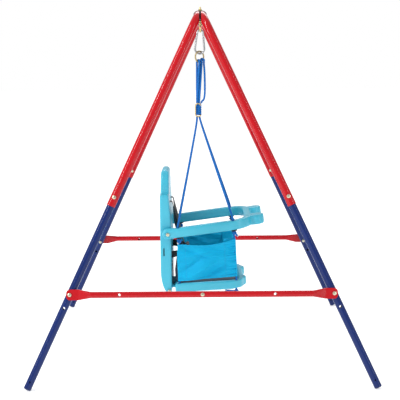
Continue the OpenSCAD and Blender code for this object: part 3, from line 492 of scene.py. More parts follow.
def from_bmesh(name: str, mesh: bmesh.types.BMesh) -> bpy.types.Object:
    """Makes a piece of a built mesh, with its faces turned outwards."""
    bmesh.ops.recalc_face_normals(mesh, faces=mesh.faces)
    data = bpy.data.meshes.new(name)
    mesh.to_mesh(data)
    mesh.free()
    piece = bpy.data.objects.new(name, data)
    bpy.context.scene.collection.objects.link(piece)
    return piece


def lay_grid(mesh: bmesh.types.BMesh, rows: Sequence[Sequence[bmesh.types.BMVert]], across: Sequence[float],
             along: Sequence[float]) -> bmesh.types.BMLayerItem:
    """Lays quads between rows of vertices.

    Args:
        mesh: The mesh being built.
        rows: Its vertices, row by row.
        across: The map's u at each column, in metres or in turns.
        along: The map's v at each row, in metres.

    Returns:
        The UV layer.
    """
    uv = mesh.loops.layers.uv.new("UVMap")
    for j in range(len(rows) - 1):
        for i in range(len(across) - 1):
            face = mesh.faces.new((rows[j][i], rows[j][i + 1], rows[j + 1][i + 1], rows[j + 1][i]))
            for loop, (s, t) in zip(face.loops, ((i, j), (i + 1, j), (i + 1, j + 1), (i, j + 1))):
                loop[uv].uv = (across[s], along[t])
    return uv


def swept(name: str, path: Sequence[Vector], section: Callable[[int, float], list[tuple[float, float]]],
          side: Vector | None = None, turn_u: bool = False) -> bpy.types.Object:
    """A closed skin swept along a path.

    Args:
        name: The piece's name.
        path: The points of its centreline.
        section: Gives the outline's points at a path index and a distance along the path.
        side: The first across direction.
        turn_u: The map's u runs once round, from 0 to 1, rather than in metres.

    Returns:
        The new piece, with a UV map whose v is in metres along the path.
    """
    frames = carried_frames(path, side)
    run = [0.0]
    for a, b in zip(path, path[1:]):
        run.append(run[-1] + (b - a).length)
    mesh = bmesh.new()
    rings, around = [], []
    for i, (p, (n, b)) in enumerate(zip(path, frames)):
        outline = section(i, run[i])
        rings.append([mesh.verts.new(p + n * x + b * y) for x, y in outline])
        if i == 0:
            total = 0.0
            for (x0, y0), (x1, y1) in zip(outline, outline[1:] + outline[:1]):
                around.append(total)
                total += math.hypot(x1 - x0, y1 - y0)
            around.append(total)
            if turn_u:
                around = [u / total for u in around]
    uv = lay_grid(mesh, [ring + ring[:1] for ring in rings], around, run)
    for ring, v in ((rings[0][::-1], run[0]), (rings[-1], run[-1])):
        for loop in mesh.faces.new(ring).loops:
            loop[uv].uv = (0.0, v)
    return from_bmesh(name, mesh)


def join(pieces: Sequence[bpy.types.Object]) -> bpy.types.Object:
    """Joins pieces into the first one."""
    activate(pieces[0])
    for other in pieces[1:]:
        other.select_set(True)
    bpy.ops.object.join()
    return pieces[0]


# ------------------------------------------------------------------ ropes
@dataclass
class Rope:
    """One braided rope and how it is swept."""

    radius: float = 3.5 * MM
    sides: int = 24
    step: float = 1.6 * MM
    strand_pitch: float = 9 * MM
    relief: float = 0.35 * MM

    def outline(self, swell: float = 1.0) -> Callable[[int, float], list[tuple[float, float]]]:
        """The rope's outline, whose strands cross as in a braid."""
        def section(_: int, run: float) -> list[tuple[float, float]]:
            points = []
            for k in range(self.sides):
                turn = 2 * math.pi * k / self.sides
                along = 2 * math.pi * run / self.strand_pitch
                strand = max(math.sin(4 * turn + along), math.sin(4 * turn - along))
                r = self.radius * swell + self.relief * (strand - 0.6)
                points.append((r * math.cos(turn), r * math.sin(turn)))
            return points
        return section

    def build(self, name: str, points: Sequence[Sequence[float]],
              swell: float = 1.0) -> tuple[bpy.types.Object, list[Vector]]:
        """Sweeps the rope along points in millimetres.

        Args:
            name: The piece's name.
            points: The route's points.
            swell: The radius's factor.

        Returns:
            The piece and its centreline in metres.
        """
        path = smooth_path([Vector(p) * MM for p in points], self.step)
        return swept(name, path, self.outline(swell), turn_u=True), path


def length_of(path: Sequence[Vector]) -> float:
    """The length of a line of points."""
    return sum((b - a).length for a, b in zip(path, path[1:]))


@dataclass
class Knot:
    """A stop knot of three lobes, with a tail and its sealed end."""

    rope: Rope
    reach: float = 5.4
    height: float = 2.9
    steps: int = 48
    cap_radius: float = 3.3 * MM

    def build(self, name: str, centre: Point, turn: float,
              tail: Sequence[Point] = ()) -> list[bpy.types.Object]:
        """Makes the knot, and the tail through the given points.

        Args:
            name: The knot's name.
            centre: Its middle, in millimetres.
            turn: Its turn about the rope, in degrees.
            tail: The tail's points, in millimetres.

        Returns:
            The knot's pieces: the knot with its tail, and the sealed end if there is a tail.
        """
        c, start = Vector(centre), math.radians(turn)
        points = []
        for k in range(self.steps + 1):
            t = 2 * math.pi * k / self.steps
            x = (math.sin(t) + 2 * math.sin(2 * t)) / 3 * self.reach
            y = (math.cos(t) - 2 * math.cos(2 * t)) / 3 * self.reach
            points.append(c + Vector((x * math.cos(start) - y * math.sin(start),
                                      x * math.sin(start) + y * math.cos(start),
                                      -math.sin(3 * t) * self.height)))
        knot, _ = self.rope.build(name, points, 0.98)
        if not tail:
            return [knot]
        run, line = self.rope.build(name + "_tail", tail)
        end, before = line[-1], line[-4]
        along = (end - before).normalized()
        cap = rod(name + "_sealed_end", end - along * 1.5 * MM, end + along * 4 * MM, self.cap_radius, 24)
        apply_modifier(cap, "BEVEL", width=0.8 * MM, segments=3, limit_method="ANGLE")
        return [join([knot, run]), cap]


@dataclass
class Hanger:
    """The ropes between the ring and the seat, with their knots, whipping and slack loop."""

    rope: Rope = field(default_factory=Rope)
    knot_x: float = -9.5
    knot_y: float = 2.5
    whip_low: float = 842.0
    whip_turns: int = 6
    whip_pitch: float = 7.5
    whip_r: float = 9.0
    steps_a_turn: int = 24
    strand: float = 3.9
    ring_turn: float = 40.0
    ring_r: float = 19.0
    reach: float = 6.6
    front: tuple[Point, ...] = (
        (-5.6, 3.9, 840.6), (6, 18, 800), (52, 74, 662), (90, 120, 550), (105, 138.5, 505), (109, 143, 488),
        (111, 143.5, 470), (113.2, 143.5, 455), (113.5, 143.5, 443), (113.6, 143, 434), (117, 134, 360),
        (121, 125.4, 290), (122, 122.8, 268), (122, 122, 250), (122, 122, 228))
    rear: tuple[Point, ...] = (
        (-13.4, 3.9, 840.6), (-18, 12, 800), (-44, 66, 662), (-68, 114, 540), (-79, 136.5, 485),
        (-83, 142.5, 466), (-82.3, 143.5, 446), (-80.2, 143.5, 431), (-79.8, 143, 417.5),
        (-79.9, 141, 408.5), (-80, 139.8, 400), (-82, 134.4, 357), (-80, 124, 277), (-80, 122, 256), (-80, 122, 217))

    @property
    def strand_z(self) -> float:
        """The height at which the strands enter the whipping."""
        return self.whip_low + self.whip_turns * self.whip_pitch + 0.3

    def loop(self, angle: float, foot_a: Point, foot_b: Point) -> list[Vector]:
        """Points of a rope over the ring's wire, in millimetres.

        Args:
            angle: Where it hangs, from the ring's lowest point.
            foot_a: Its first end.
            foot_b: Its second end.

        Returns:
            The points, from foot_a to foot_b.
        """
        low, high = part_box("rope_ring")
        centre = (low + high) / 2 / MM
        t = math.radians(self.ring_turn)
        along, across = Vector((math.cos(t), math.sin(t), 0)), Vector((-math.sin(t), math.cos(t), 0))
        a = math.radians(angle)
        c = centre + self.ring_r * (math.sin(a) * along - Vector((0, 0, math.cos(a))))
        up = (centre - c) / self.ring_r
        over = [c + self.reach * (math.cos(s) * across + math.sin(s) * up)
                for s in (math.radians(22.5 * k) for k in range(9))]
        foot_a, foot_b = Vector(foot_a), Vector(foot_b)
        up_leg = [foot_a.lerp(over[0], s) for s in (0, 0.3, 0.6, 0.85)]
        down_leg = [over[-1].lerp(foot_b, s) for s in (0.15, 0.4, 0.7, 1)]
        return up_leg + over + down_leg

    def whipping(self) -> bpy.types.Object:
        """The turns of rope that bind the strands."""
        points = []
        steps = self.steps_a_turn * self.whip_turns
        for k in range(steps + 1):
            t = 2 * math.pi * k / self.steps_a_turn
            x, y = self.knot_x + self.whip_r * math.cos(t), self.knot_y + self.whip_r * math.sin(t)
            points.append((x, y, self.whip_low + 3.7 + (self.whip_turns - 1) * self.whip_pitch * k / steps))
        coil, _ = self.rope.build("rope_whipping_turns", points)
        return coil

    def build(self) -> list[bpy.types.Object]:
        z, x, s = self.strand_z, self.knot_x, self.strand
        loops = []
        for name, angle, dx in (("hanger_loop_rear", -21, -s), ("hanger_loop_front", 15, s)):
            piece, path = self.rope.build(name, self.loop(angle, (x + dx, s, z), (x + dx, -s, z)))
            loops.append((piece, path))
        hanging = ((14, 1, 1000), (15, 0, 960), (14.5, 0, 920), (11, 0, 901), (4, 0, 893), (2, 0, z))
        slack_points = self.loop(54, (x, 11, z), (12, 2, 1020))[:-1] + [Vector(p) for p in hanging]
        slack, slack_path = self.rope.build("slack_loop_rope", slack_points)
        coil = self.whipping()
        settle(loops[0][0], ROPE, Body.SEAT, "hanger_loops")
        settle(loops[1][0], ROPE, Body.SEAT)
        settle(slack, ROPE, Body.SEAT, "slack_loop")
        settle(coil, ROPE, Body.SEAT, "rope_whipping")
        pieces = [piece for piece, _ in loops] + [slack, coil]
        for side, word in SIDES:
            pieces += self.seat_rope("front", word, side, self.front)
            pieces += self.seat_rope("rear", word, side, self.rear)
        return pieces

    def seat_rope(self, end: str, word: str, side: int, route: Sequence[Point]) -> list[bpy.types.Object]:
        """One rope from the whipping to the base, with its two knots.

        Args:
            end: Front or rear.
            word: Right or left.
            side: -1 for right, 1 for left.
            route: The left side's points, in millimetres.

        Returns:
            The rope, its knots and their sealed ends.
        """
        name = f"{end}_{word}_rope"
        piece, path = self.rope.build(name + "_braid", [(p[0], side * p[1], p[2]) for p in route])
        foot = route[-1]
        upper = (113.5, side * 143.5, 442.6) if end == "front" else (-79.8, side * 143, 416.9)
        lower = (foot[0], side * foot[1], foot[2] - 1)
        back = -1 if end == "front" else 1
        near, far = (20, 37) if end == "front" else (8, 10)
        out = [
            Knot(self.rope).build(name + "_ring_knot", upper, 20 + 40 * side, (
                upper, (upper[0] + 6, upper[1] + side * 6, upper[2] - 3),
                (upper[0] + 11 * (1 if end == "front" else -0.2), upper[1] + side * 8, upper[2] - 9))),
            Knot(self.rope).build(name + "_base_knot", lower, 70 - 30 * side, (
                lower, (lower[0] + 8 * back, lower[1] + side, lower[2] - 0.5 * back),
                (lower[0] + near * back, lower[1] + 2 * side, lower[2] - 2 * back),
                (lower[0] + far * back, lower[1] + 3 * side, lower[2] - 3.5 * back))),
        ]
        settle(piece, ROPE, Body.SEAT, name)
        for knot, cap in out:
            settle(knot, ROPE, Body.SEAT)
            settle(cap, CUT_END, Body.SEAT)
        flat = [p for pair in out for p in pair]
        return [piece] + flat


# ------------------------------------------------------------------ fabric sides
def between(route: Sequence[Point], z: float) -> tuple[float, float]:
    """X and Y where a route passes a height, in millimetres."""
    for (x0, y0, z0), (x1, y1, z1) in zip(route, route[1:]):
        if z1 <= z <= z0:
            t = (z0 - z) / (z0 - z1)
            return x0 + t * (x1 - x0), y0 + t * (y1 - y0)
    return route[-1][0], route[-1][1]


@dataclass(frozen=True)
class Fold:
    """A tension fold: a ridge between two points of the panel, in shares of its width and height."""

    start: tuple[float, float]
    end: tuple[float, float]
    width: float
    rise: float

    def at(self, u: float, v: float) -> float:
        """The fold's height above the panel, in millimetres."""
        (ax, ay), (bx, by) = self.start, self.end
        dx, dy = bx - ax, by - ay
        t = max(0.0, min(1.0, ((u - ax) * dx + (v - ay) * dy) / (dx * dx + dy * dy)))
        away = math.hypot((u - ax - t * dx), (v - ay - t * dy) * 0.7)
        fade = math.sin(math.pi * (0.12 + 0.76 * t))
        return self.rise * fade * math.exp(-(away / self.width) ** 1.35)


@dataclass
class FabricSides:
    """The cloth panels that close the seat's sides, each sleeved over two ropes."""

    hanger: Hanger
    clearance: float = 4.5
    rear_z: tuple[float, float] = (266.0, 402.0)
    front_z: tuple[float, float] = (283.0, 421.0)
    rear_return: float = 26.0
    front_return: float = 38.0
    sag: float = 12.5
    thickness: float = 0.9 * MM
    turn_in: float = 10 * MM
    hem_share: float = 0.055
    hem_rows: int = 4
    hem_thickness: float = 0.8 * MM
    thread: float = 0.35 * MM
    columns: int = 90
    rows: int = 64
    folds: tuple[Fold, ...] = (
        Fold((0.08, 0.0), (0.80, 0.60), 0.10, 15.0), Fold((0.40, 0.0), (0.88, 0.40), 0.07, -11.0),
        Fold((0.04, 0.62), (0.56, 0.80), 0.05, 8.0), Fold((0.02, 0.95), (0.52, 0.58), 0.05, -9.0),
        Fold((0.42, 0.95), (0.88, 0.70), 0.05, -7.0), Fold((0.02, 0.22), (0.44, 0.62), 0.045, -9.0),
        Fold((0.60, 0.06), (0.88, 0.20), 0.04, 6.0), Fold((0.02, 0.44), (0.30, 0.48), 0.035, 5.0),
        Fold((0.30, 0.72), (0.78, 0.62), 0.03, 5.0))

    def puckers(self, u: float, v: float) -> float:
        """Small gathers beside the two sleeves, in millimetres."""
        front = max(0.0, (u - 0.80) / 0.20) ** 0.8
        rear = max(0.0, (0.13 - u) / 0.13)
        wave = math.sin(2 * math.pi * (v * 13 + 0.6 * math.sin(9 * v) + 1.6 * u))
        slow = math.sin(2 * math.pi * (v * 6.3 + 0.4 * math.sin(5 * v + 1)))
        return 2.4 * front * (wave + 0.5 * slow) + 1.2 * rear * slow

    def surface(self, side: int, u: float, v: float, lift: float) -> Vector:
        """A point of the panel between its ropes.

        Args:
            side: -1 for right, 1 for left.
            u: The share of the way from the rear rope to the front one.
            v: The share of the way up.
            lift: Its height above the panel's middle surface, in millimetres.

        Returns:
            The point, in metres.
        """
        zr = self.rear_z[0] + v * (self.rear_z[1] - self.rear_z[0])
        zf = self.front_z[0] + v * (self.front_z[1] - self.front_z[0])
        xr, yr = between(self.hanger.rear, zr)
        xf, yf = between(self.hanger.front, zf)
        z = zr + u * (zf - zr) - self.sag * v * v * math.sin(math.pi * u ** 1.15)
        x = xr + u * (xf - xr)
        inside = math.sin(math.pi * u) ** 0.6
        out = self.clearance + 2.5 * math.sin(math.pi * u) * math.sin(math.pi * (0.15 + 0.7 * v))
        out += inside * sum(f.at(u, v) for f in self.folds) + self.puckers(u, v)
        y = yr + u * (yf - yr) + out + lift
        return Vector((x, side * y, z)) * MM

    def section(self, side: int, v: float) -> list[Vector]:
        """One row of the panel, from its rear return round both ropes to its front return."""
        points: list[Vector] = []
        for end, route, back in (("rear", self.hanger.rear, self.rear_return),
                                 ("front", self.hanger.front, self.front_return)):
            heights = self.rear_z if end == "rear" else self.front_z
            z = heights[0] + v * (heights[1] - heights[0])
            cx, cy = between(route, z)
            inward = 1 if end == "rear" else -1
            turn = []
            for k in range(7):
                s = k / 6
                off = -self.clearance + (2 * self.clearance - 2.2) * (1 - s) ** 1.4
                turn.append(Vector((cx + inward * back * (1 - s), side * (cy + off), z)) * MM)
            for k in range(1, 9):
                a = math.pi * k / 9
                turn.append(Vector((cx - inward * self.clearance * math.sin(a),
                                    side * (cy - self.clearance * math.cos(a)), z)) * MM)
            if end == "rear":
                points += turn
                points += [self.surface(side, k / self.columns, v, 0) for k in range(self.columns + 1)]
            else:
                points += list(reversed(turn))
        return points

    def build_panel(self, word: str, side: int) -> bpy.types.Object:
        """Makes one panel with its hem and stitching."""
        mesh = bmesh.new()
        levels = [k / self.rows for k in range(self.rows + 1)]
        rows = [self.section(side, v) for v in levels]
        verts = [[mesh.verts.new(p) for p in row] for row in rows]
        run = [0.0]
        for a, b in zip(rows[0], rows[0][1:]):
            run.append(run[-1] + (b - a).length)
        height = (self.rear_z[1] - self.rear_z[0]) * MM
        lay_grid(mesh, verts, run, [level * height for level in levels])
        piece = from_bmesh(f"{word}_side_cloth", mesh)
        apply_modifier(piece, "SOLIDIFY", thickness=self.thickness, offset=0.0)
        hem = self.hem(word, side)
        seams = self.stitching(word, side)
        settle(piece, NYLON, Body.SEAT, f"{word}_fabric_panel", sharp=60)
        settle(hem, NYLON, Body.SEAT, sharp=60)
        settle(seams, THREAD, Body.SEAT)
        return piece

    def hem(self, word: str, side: int) -> bpy.types.Object:
        """The folded bands along the panel's upper and lower edges."""
        bands = []
        for v0, v1 in ((0.0, self.hem_share), (1.0 - self.hem_share, 1.0)):
            mesh = bmesh.new()
            grid = []
            for k in range(self.hem_rows + 1):
                v = v0 + (v1 - v0) * k / self.hem_rows
                grid.append([mesh.verts.new(self.surface(side, 0.01 + 0.98 * i / self.columns, v, 0.55))
                             for i in range(self.columns + 1)])
            lay_grid(mesh, grid, [i * 0.0022 for i in range(self.columns + 1)],
                     [k * 0.0019 + v0 for k in range(self.hem_rows + 1)])
            bands.append(from_bmesh(f"{word}_side_hem", mesh))
            apply_modifier(bands[-1], "SOLIDIFY", thickness=self.hem_thickness, offset=0.0)
        return join(bands)

    def stitching(self, word: str, side: int) -> bpy.types.Object:
        """The stitches along the hems and the sleeves, as one piece."""
        width = 204.0
        lines: list[list[Vector]] = []
        for v in (0.05, 0.95):
            lines.append([self.surface(side, 0.02 + 0.96 * k / 62, v, 1.15) for k in range(63)])
        for u in (self.rear_return / width, 1 - self.front_return / width,
                  1 - (self.front_return - 3) / width):
            lines.append([self.surface(side, u, 0.02 + 0.96 * k / 42, 0.7) for k in range(43)])
        mesh = bmesh.new()
        for line in lines:
            for a, b in zip(line, line[1:]):
                along = (b - a) * 0.62
                up = Vector((0, side, 0)) * self.thread
                across = along.cross(up).normalized() * self.thread
                start = a + along * 0.3
                corners = (-across, across, along + across, along - across)
                low = [mesh.verts.new(start + d) for d in corners]
                high = [mesh.verts.new(start + d * 0.8 + up) for d in corners]
                mesh.faces.new(high)
                mesh.faces.new(list(reversed(low)))
                for k in range(4):
                    mesh.faces.new((low[k], low[(k + 1) % 4], high[(k + 1) % 4], high[k]))
        return from_bmesh(f"{word}_side_stitching", mesh)

    def build(self) -> list[bpy.types.Object]:
        """Makes both panels."""
        return [self.build_panel(word, side) for side, word in SIDES]


# ------------------------------------------------------------------ harness and pad
@dataclass
class Harness:
    """Webbing straps and their buckle."""

    width: float = 25 * MM
    thickness: float = 1.6 * MM
    shoulder: tuple[tuple[float, float], ...] = (
        (-114, 540), (-106, 540), (-102, 528), (-90, 455), (-72, 390), (-66, 371))
    waist: tuple[tuple[float, float], ...] = ((-114, 100), (-101, 99), (-84, 82), (-66, 50), (-54, 27.5))
    crotch: tuple[tuple[float, float], ...] = (
        (-52, 337.6), (-48, 305), (-40, 284), (-28, 273), (-16, 269), (8, 269.5))
    waist_z: float = 358.0
    shoulder_y: float = 50.0
    shoulder_twist: float = 34.0
    waist_twist: float = -24.0

    def ribbon(self, name: str, points: Sequence[Point], side: Vector,
               twist: float = 0.0) -> bpy.types.Object:
        """A strap through points in millimetres.

        Args:
            name: The piece's name.
            points: Its route.
            side: The direction of its width.
            twist: How far it turns about its own length halfway, in degrees.

        Returns:
            The strap.
        """
        w, t = self.width / 2, self.thickness / 2
        edge = [(w - t, -t), (w - 0.3 * t, -0.7 * t), (w, 0), (w - 0.3 * t, 0.7 * t), (w - t, t)]
        outline = edge + [(0, 0.92 * t)] + [(-x, -y) for x, y in edge] + [(0, -0.92 * t)]
        path = smooth_path([Vector(p) * MM for p in points], 3 * MM)
        whole = length_of(path)

        def section(_: int, run: float) -> list[tuple[float, float]]:
            turn = math.radians(twist) * math.sin(math.pi * min(1.0, run / whole)) ** 2
            c, s = math.cos(turn), math.sin(turn)
            return [(x * c - y * s, x * s + y * c) for x, y in outline]
        return swept(name, path, section, side=side)

    def build(self) -> list[bpy.types.Object]:
        """Makes the straps and the buckle."""
        across, upright = Vector((0, 1, 0)), Vector((0, 0, 1))
        shoulders = join([
            self.ribbon("shoulder_webbing", [(x, s * self.shoulder_y, z) for x, z in self.shoulder],
                        across, self.shoulder_twist * s) for s in (RIGHT, LEFT)])
        waists = join([
            self.ribbon("waist_webbing", [(x, s * y, self.waist_z) for x, y in self.waist],
                        upright, self.waist_twist * s) for s in (RIGHT, LEFT)])
        crotch = self.ribbon("crotch_webbing", [(x, 0, z) for x, z in self.crotch], across)
        settle(shoulders, WEBBING, Body.SEAT, "shoulder_straps", sharp=50)
        settle(waists, WEBBING, Body.SEAT, "waist_straps", sharp=50)
        settle(crotch, WEBBING, Body.SEAT, "crotch_strap", sharp=50)
        return [shoulders, waists, crotch, self.buckle()]

    def buckle(self) -> bpy.types.Object:
        """The five-point buckle: a rounded body, a raised button and slotted ears."""
        low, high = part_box("harness_buckle")
        body = block("buckle_body", (low.x, low.y, low.z), (high.x, high.y, high.z))
        apply_modifier(body, "BEVEL", width=4 * MM, segments=5, limit_method="ANGLE")
        centre = (low + high) / 2
        ring = rod("ring", (high.x - 1.5 * MM, 0, centre.z), (high.x + 1 * MM, 0, centre.z), 12.5 * MM)
        cut(body, ring)
        button = rod("button", (high.x - 4 * MM, 0, centre.z), (high.x - 0.3 * MM, 0, centre.z), 11.2 * MM)
        apply_modifier(button, "BEVEL", width=1.2 * MM, segments=3, limit_method="ANGLE")
        for s in (RIGHT, LEFT):
            slot = block("slot", (low.x - MM, s * 23.5 * MM - 1.6 * MM, centre.z - 13 * MM),
                         (high.x + MM, s * 23.5 * MM + 1.6 * MM, centre.z + 13 * MM))
            cut(body, slot)
        piece = join([body, button])
        return settle(piece, BLACK, Body.SEAT, "harness_buckle")


@dataclass
class SeatPad:
    """The slate pad in the seat's pan, quilted, with an upstand behind."""

    voxel: float = 3.4 * MM
    channels: tuple[float, ...] = (-70.0, -35.0, 0.0, 35.0, 70.0)

    def build(self) -> bpy.types.Object:
        """Makes the pad."""
        piece = copy_node("seat_pad", "quilted_seat_pad")
        soften(piece, self.voxel, 6)
        low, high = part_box("seat_pad")
        middle = (low + high) / 2
        apply_modifier(piece, "SUBSURF", levels=1, render_levels=1)
        for vertex in piece.data.vertices:
            p, n = vertex.co, vertex.normal
            crown = 0.0
            if n.z > 0.3 or n.x > 0.3:
                near = min(abs(p.y / MM - c) for c in self.channels)
                crown = 1.0 - math.exp(-(near / 4.0) ** 2)
                rib = math.exp(-(abs(p.x - middle.x - 0.02) / (4 * MM)) ** 2)
                crown = crown * (1 - 0.8 * rib)
                p += n * (crown * 1.6 - 0.9) * MM
        piece.data.update()
        apply_modifier(piece, "SMOOTH", factor=0.5, iterations=2)
        settle(piece, PAD, Body.SEAT, "seat_pad", sharp=80)
        return piece


# ------------------------------------------------------------------ moulded seat
@dataclass
class SeatShell:
    """The blow-moulded back, lap ring and base."""

    back_x: float = -146 * MM
    back_front: float = -107 * MM
    half_w: float = 128 * MM
    low: float = 212 * MM
    shoulder: float = 575 * MM
    heel_r: float = 200 * MM
    heel_h: float = 90 * MM
    base_pivot: tuple[float, float] = (-115 * MM, 230 * MM)
    top: float = 657 * MM
    head_half_w: float = 96 * MM
    pivot: tuple[float, float] = (-118 * MM, 440 * MM)
    voxel: float = 2.4 * MM

    def plate(self, name: str, x: tuple[float, float], half_w: float, z: tuple[float, float],
              low_r: float, high_r: float) -> bpy.types.Object:
        """A plate across the seat whose corners are rounded, seen from the front."""
        piece = block(name, (x[0], -half_w, z[0]), (x[1], half_w, z[1]))
        for height, radius in ((z[0], low_r), (z[1], high_r)):
            if radius <= 0:
                continue
            activate(piece)
            bpy.ops.object.mode_set(mode="EDIT")
            mesh = bmesh.from_edit_mesh(piece.data)
            for edge in mesh.edges:
                a, b = (v.co for v in edge.verts)
                level = abs(a.z - height) < 0.01 * MM and abs(b.z - height) < 0.01 * MM
                edge.select_set(level and abs(a.x - b.x) > MM)
            bmesh.update_edit_mesh(piece.data)
            bpy.ops.mesh.bevel(offset=radius, segments=14, affect="EDGES")
            bpy.ops.object.mode_set(mode="OBJECT")
        return piece

    def profile(self, name: str, points: Sequence[tuple[float, float]], half_w: float) -> bpy.types.Object:
        """A block with an X and Z outline, extruded across the seat."""
        mesh = bmesh.new()
        near = [mesh.verts.new((x, -half_w, z)) for x, z in points]
        face = mesh.faces.new(near)
        grown = bmesh.ops.extrude_face_region(mesh, geom=[face])
        for item in grown["geom"]:
            if isinstance(item, bmesh.types.BMVert):
                item.co.y = half_w
        return from_bmesh(name, mesh)

    def arc(self, cx: float, cz: float, r: float, start: float, end: float,
            steps: int = 12) -> list[tuple[float, float]]:
        """Points of an arc in X and Z."""
        angles = [math.radians(start + (end - start) * k / steps) for k in range(steps + 1)]
        return [(cx + r * math.cos(a), cz + r * math.sin(a)) for a in angles]

    def build_back(self) -> bpy.types.Object:
        """The back: a tapered lower part with a rounded heel, and a head rest."""
        x0, x1 = self.back_x, self.back_front
        body = self.plate("moulded_back", (x0 - MM, x1 + MM), self.half_w, (self.low, self.shoulder),
                          46 * MM, 34 * MM)
        outline = [(x1, 0.15), (x1, 470 * MM), (x1 - 8 * MM, self.shoulder), (x1 - 9 * MM, 0.6), (x0, 0.6)]
        outline += self.arc(x0 + self.heel_r, self.low + self.heel_h, self.heel_r, 180, 216)
        combine(body, self.profile("heel", outline, 0.2), "INTERSECT")
        hx0, hx1 = x0 + 2 * MM, x0 + 32 * MM
        neck = self.shoulder - 60 * MM
        head = self.plate("head", (hx0 - MM, hx1 + MM), self.head_half_w, (neck, self.top), 0, 60 * MM)
        crown = 14 * MM
        side = [(hx1, neck), (hx1, self.shoulder)]
        side += self.arc(hx0 + MM + crown, self.top - crown, crown, 0, 180)
        side += [(hx0, self.shoulder), (hx0, neck)]
        combine(head, self.profile("crown", side, 0.2), "INTERSECT")
        combine(body, head, "UNION")
        for s in (RIGHT, LEFT):
            y0, y1 = sorted((s * 12, s * 104))
            cut(body, block("panel", (x1 - 2.5 * MM, y0 * MM, 290 * MM), (x1 + 5 * MM, y1 * MM, 515 * MM)))
        for depth, half_w, low, high in ((2.5, 100, 250, 525), (4, 60, 575, 630)):
            cut(body, block("rear_panel", (x0 - 5 * MM, -half_w * MM, low * MM),
                            (x0 + depth * MM, half_w * MM, high * MM)))
        soften(body, self.voxel, 22)
        return self.cut_back(body)

    def cut_back(self, body: bpy.types.Object) -> bpy.types.Object:
        """Cuts the recess, slots and bores into the softened back."""
        x0, x1 = self.back_x, self.back_front
        bx, bz = self.base_pivot
        cut(body, block("recess", (bx - 9 * MM, -61 * MM, self.low - 10 * MM),
                        (x1 + 10 * MM, 61 * MM, 261 * MM)))
        for s in (RIGHT, LEFT):
            cuts = (((x1 - 9 * MM, s * 50 - 12.8, 536.0), (x1 + 9 * MM, s * 50 + 12.8, 544.0)),
                    ((x1 - 9 * MM, s * 100 - 4, 345.2), (x1 + 9 * MM, s * 100 + 4, 370.8)))
            for low, high in cuts:
                cut(body, block("slot", (low[0], low[1] * MM, low[2] * MM),
                                (high[0], high[1] * MM, high[2] * MM)))
            y0, y1 = sorted((s * (self.half_w - 8 * MM), s * (self.half_w + MM)))
            cut(body, block("side_slot", (-135.5 * MM, y0, 357 * MM), (-131 * MM, y1, 385 * MM)))
            px, pz = self.pivot
            cut(body, rod("screw", (px, s * 0.09, pz), (px, s * 0.14, pz), 3.05 * MM, 32))
        cut(body, rod("bolt", (bx, -0.14, bz), (bx, 0.14, bz), 3.2 * MM, 32))
        settle(body, SEAT, Body.SEAT, "seat_back", sharp=40)
        return body

    def strap_ends(self) -> bpy.types.Object:
        """The webbing that shows in the slots at the back's sides."""
        ends = []
        for s in (RIGHT, LEFT):
            y0, y1 = sorted((s * (self.half_w - 7.5 * MM), s * (self.half_w - 1.2 * MM)))
            ends.append(block("strap_ends", (-134.2 * MM, y0, 358.5 * MM), (-132.3 * MM, y1, 383.5 * MM)))
            apply_modifier(ends[-1], "BEVEL", width=0.4 * MM, segments=2, limit_method="ANGLE")
        return settle(join(ends), WEBBING, Body.SEAT)

    def build_ring(self) -> bpy.types.Object:
        """The lap ring, softened, with a ring pressed round each screw."""
        piece = copy_node("lap_ring", "moulded_lap_ring")
        soften(piece, 2.2 * MM, 60)
        px, pz = self.pivot
        for s in (RIGHT, LEFT):
            face = s * 158 * MM
            cut(piece, rod("dish", (px, face - s * 1.3 * MM, pz), (px, face + s * 5 * MM, pz), 10 * MM))
        settle(piece, SEAT, Body.LAP_RING, "lap_ring", sharp=50)
        return piece

    def build_base(self) -> bpy.types.Object:
        """The seat base with its dished pan."""
        piece = copy_node("seat_base", "moulded_seat_base")
        soften(piece, 2.4 * MM, 36)
        settle(piece, SEAT, Body.SEAT, "seat_base", sharp=50)
        return piece

    def build(self) -> list[bpy.types.Object]:
        """Makes the three mouldings."""
        return [self.build_back(), self.strap_ends(), self.build_ring(), self.build_base()]


# ------------------------------------------------------------------ metal and small parts
@dataclass
class FrameMetal:
    """The frame's tubes, bars and fasteners, which keep their CAD shapes."""

    finishes: dict[str, Finish] = field(default_factory=lambda: {
        "red_paint": RED_PAINT, "blue_paint": BLUE_PAINT, "foot_plastic": FOOT, "black_plastic": BLACK,
        "zinc": ZINC, "gold_zinc": GOLD_ZINC, "hook_steel": HOOK, "ring_bronze": BRONZE, "rope": ROPE,
        "seat_plastic": SEAT, "seat_fabric": THREAD, "pad_fabric": BLACK, "webbing": BLACK})

    def build(self) -> list[bpy.types.Object]:
        """Gives every CAD node the finish of its record's slot."""
        slots = {row["node"]: row["material_slot"] for row in frame["record"]["subparts"]}
        for name, node in frame["nodes"].items():
            dress(node, self.finishes[slots[name]])
        return list(frame["nodes"].values())


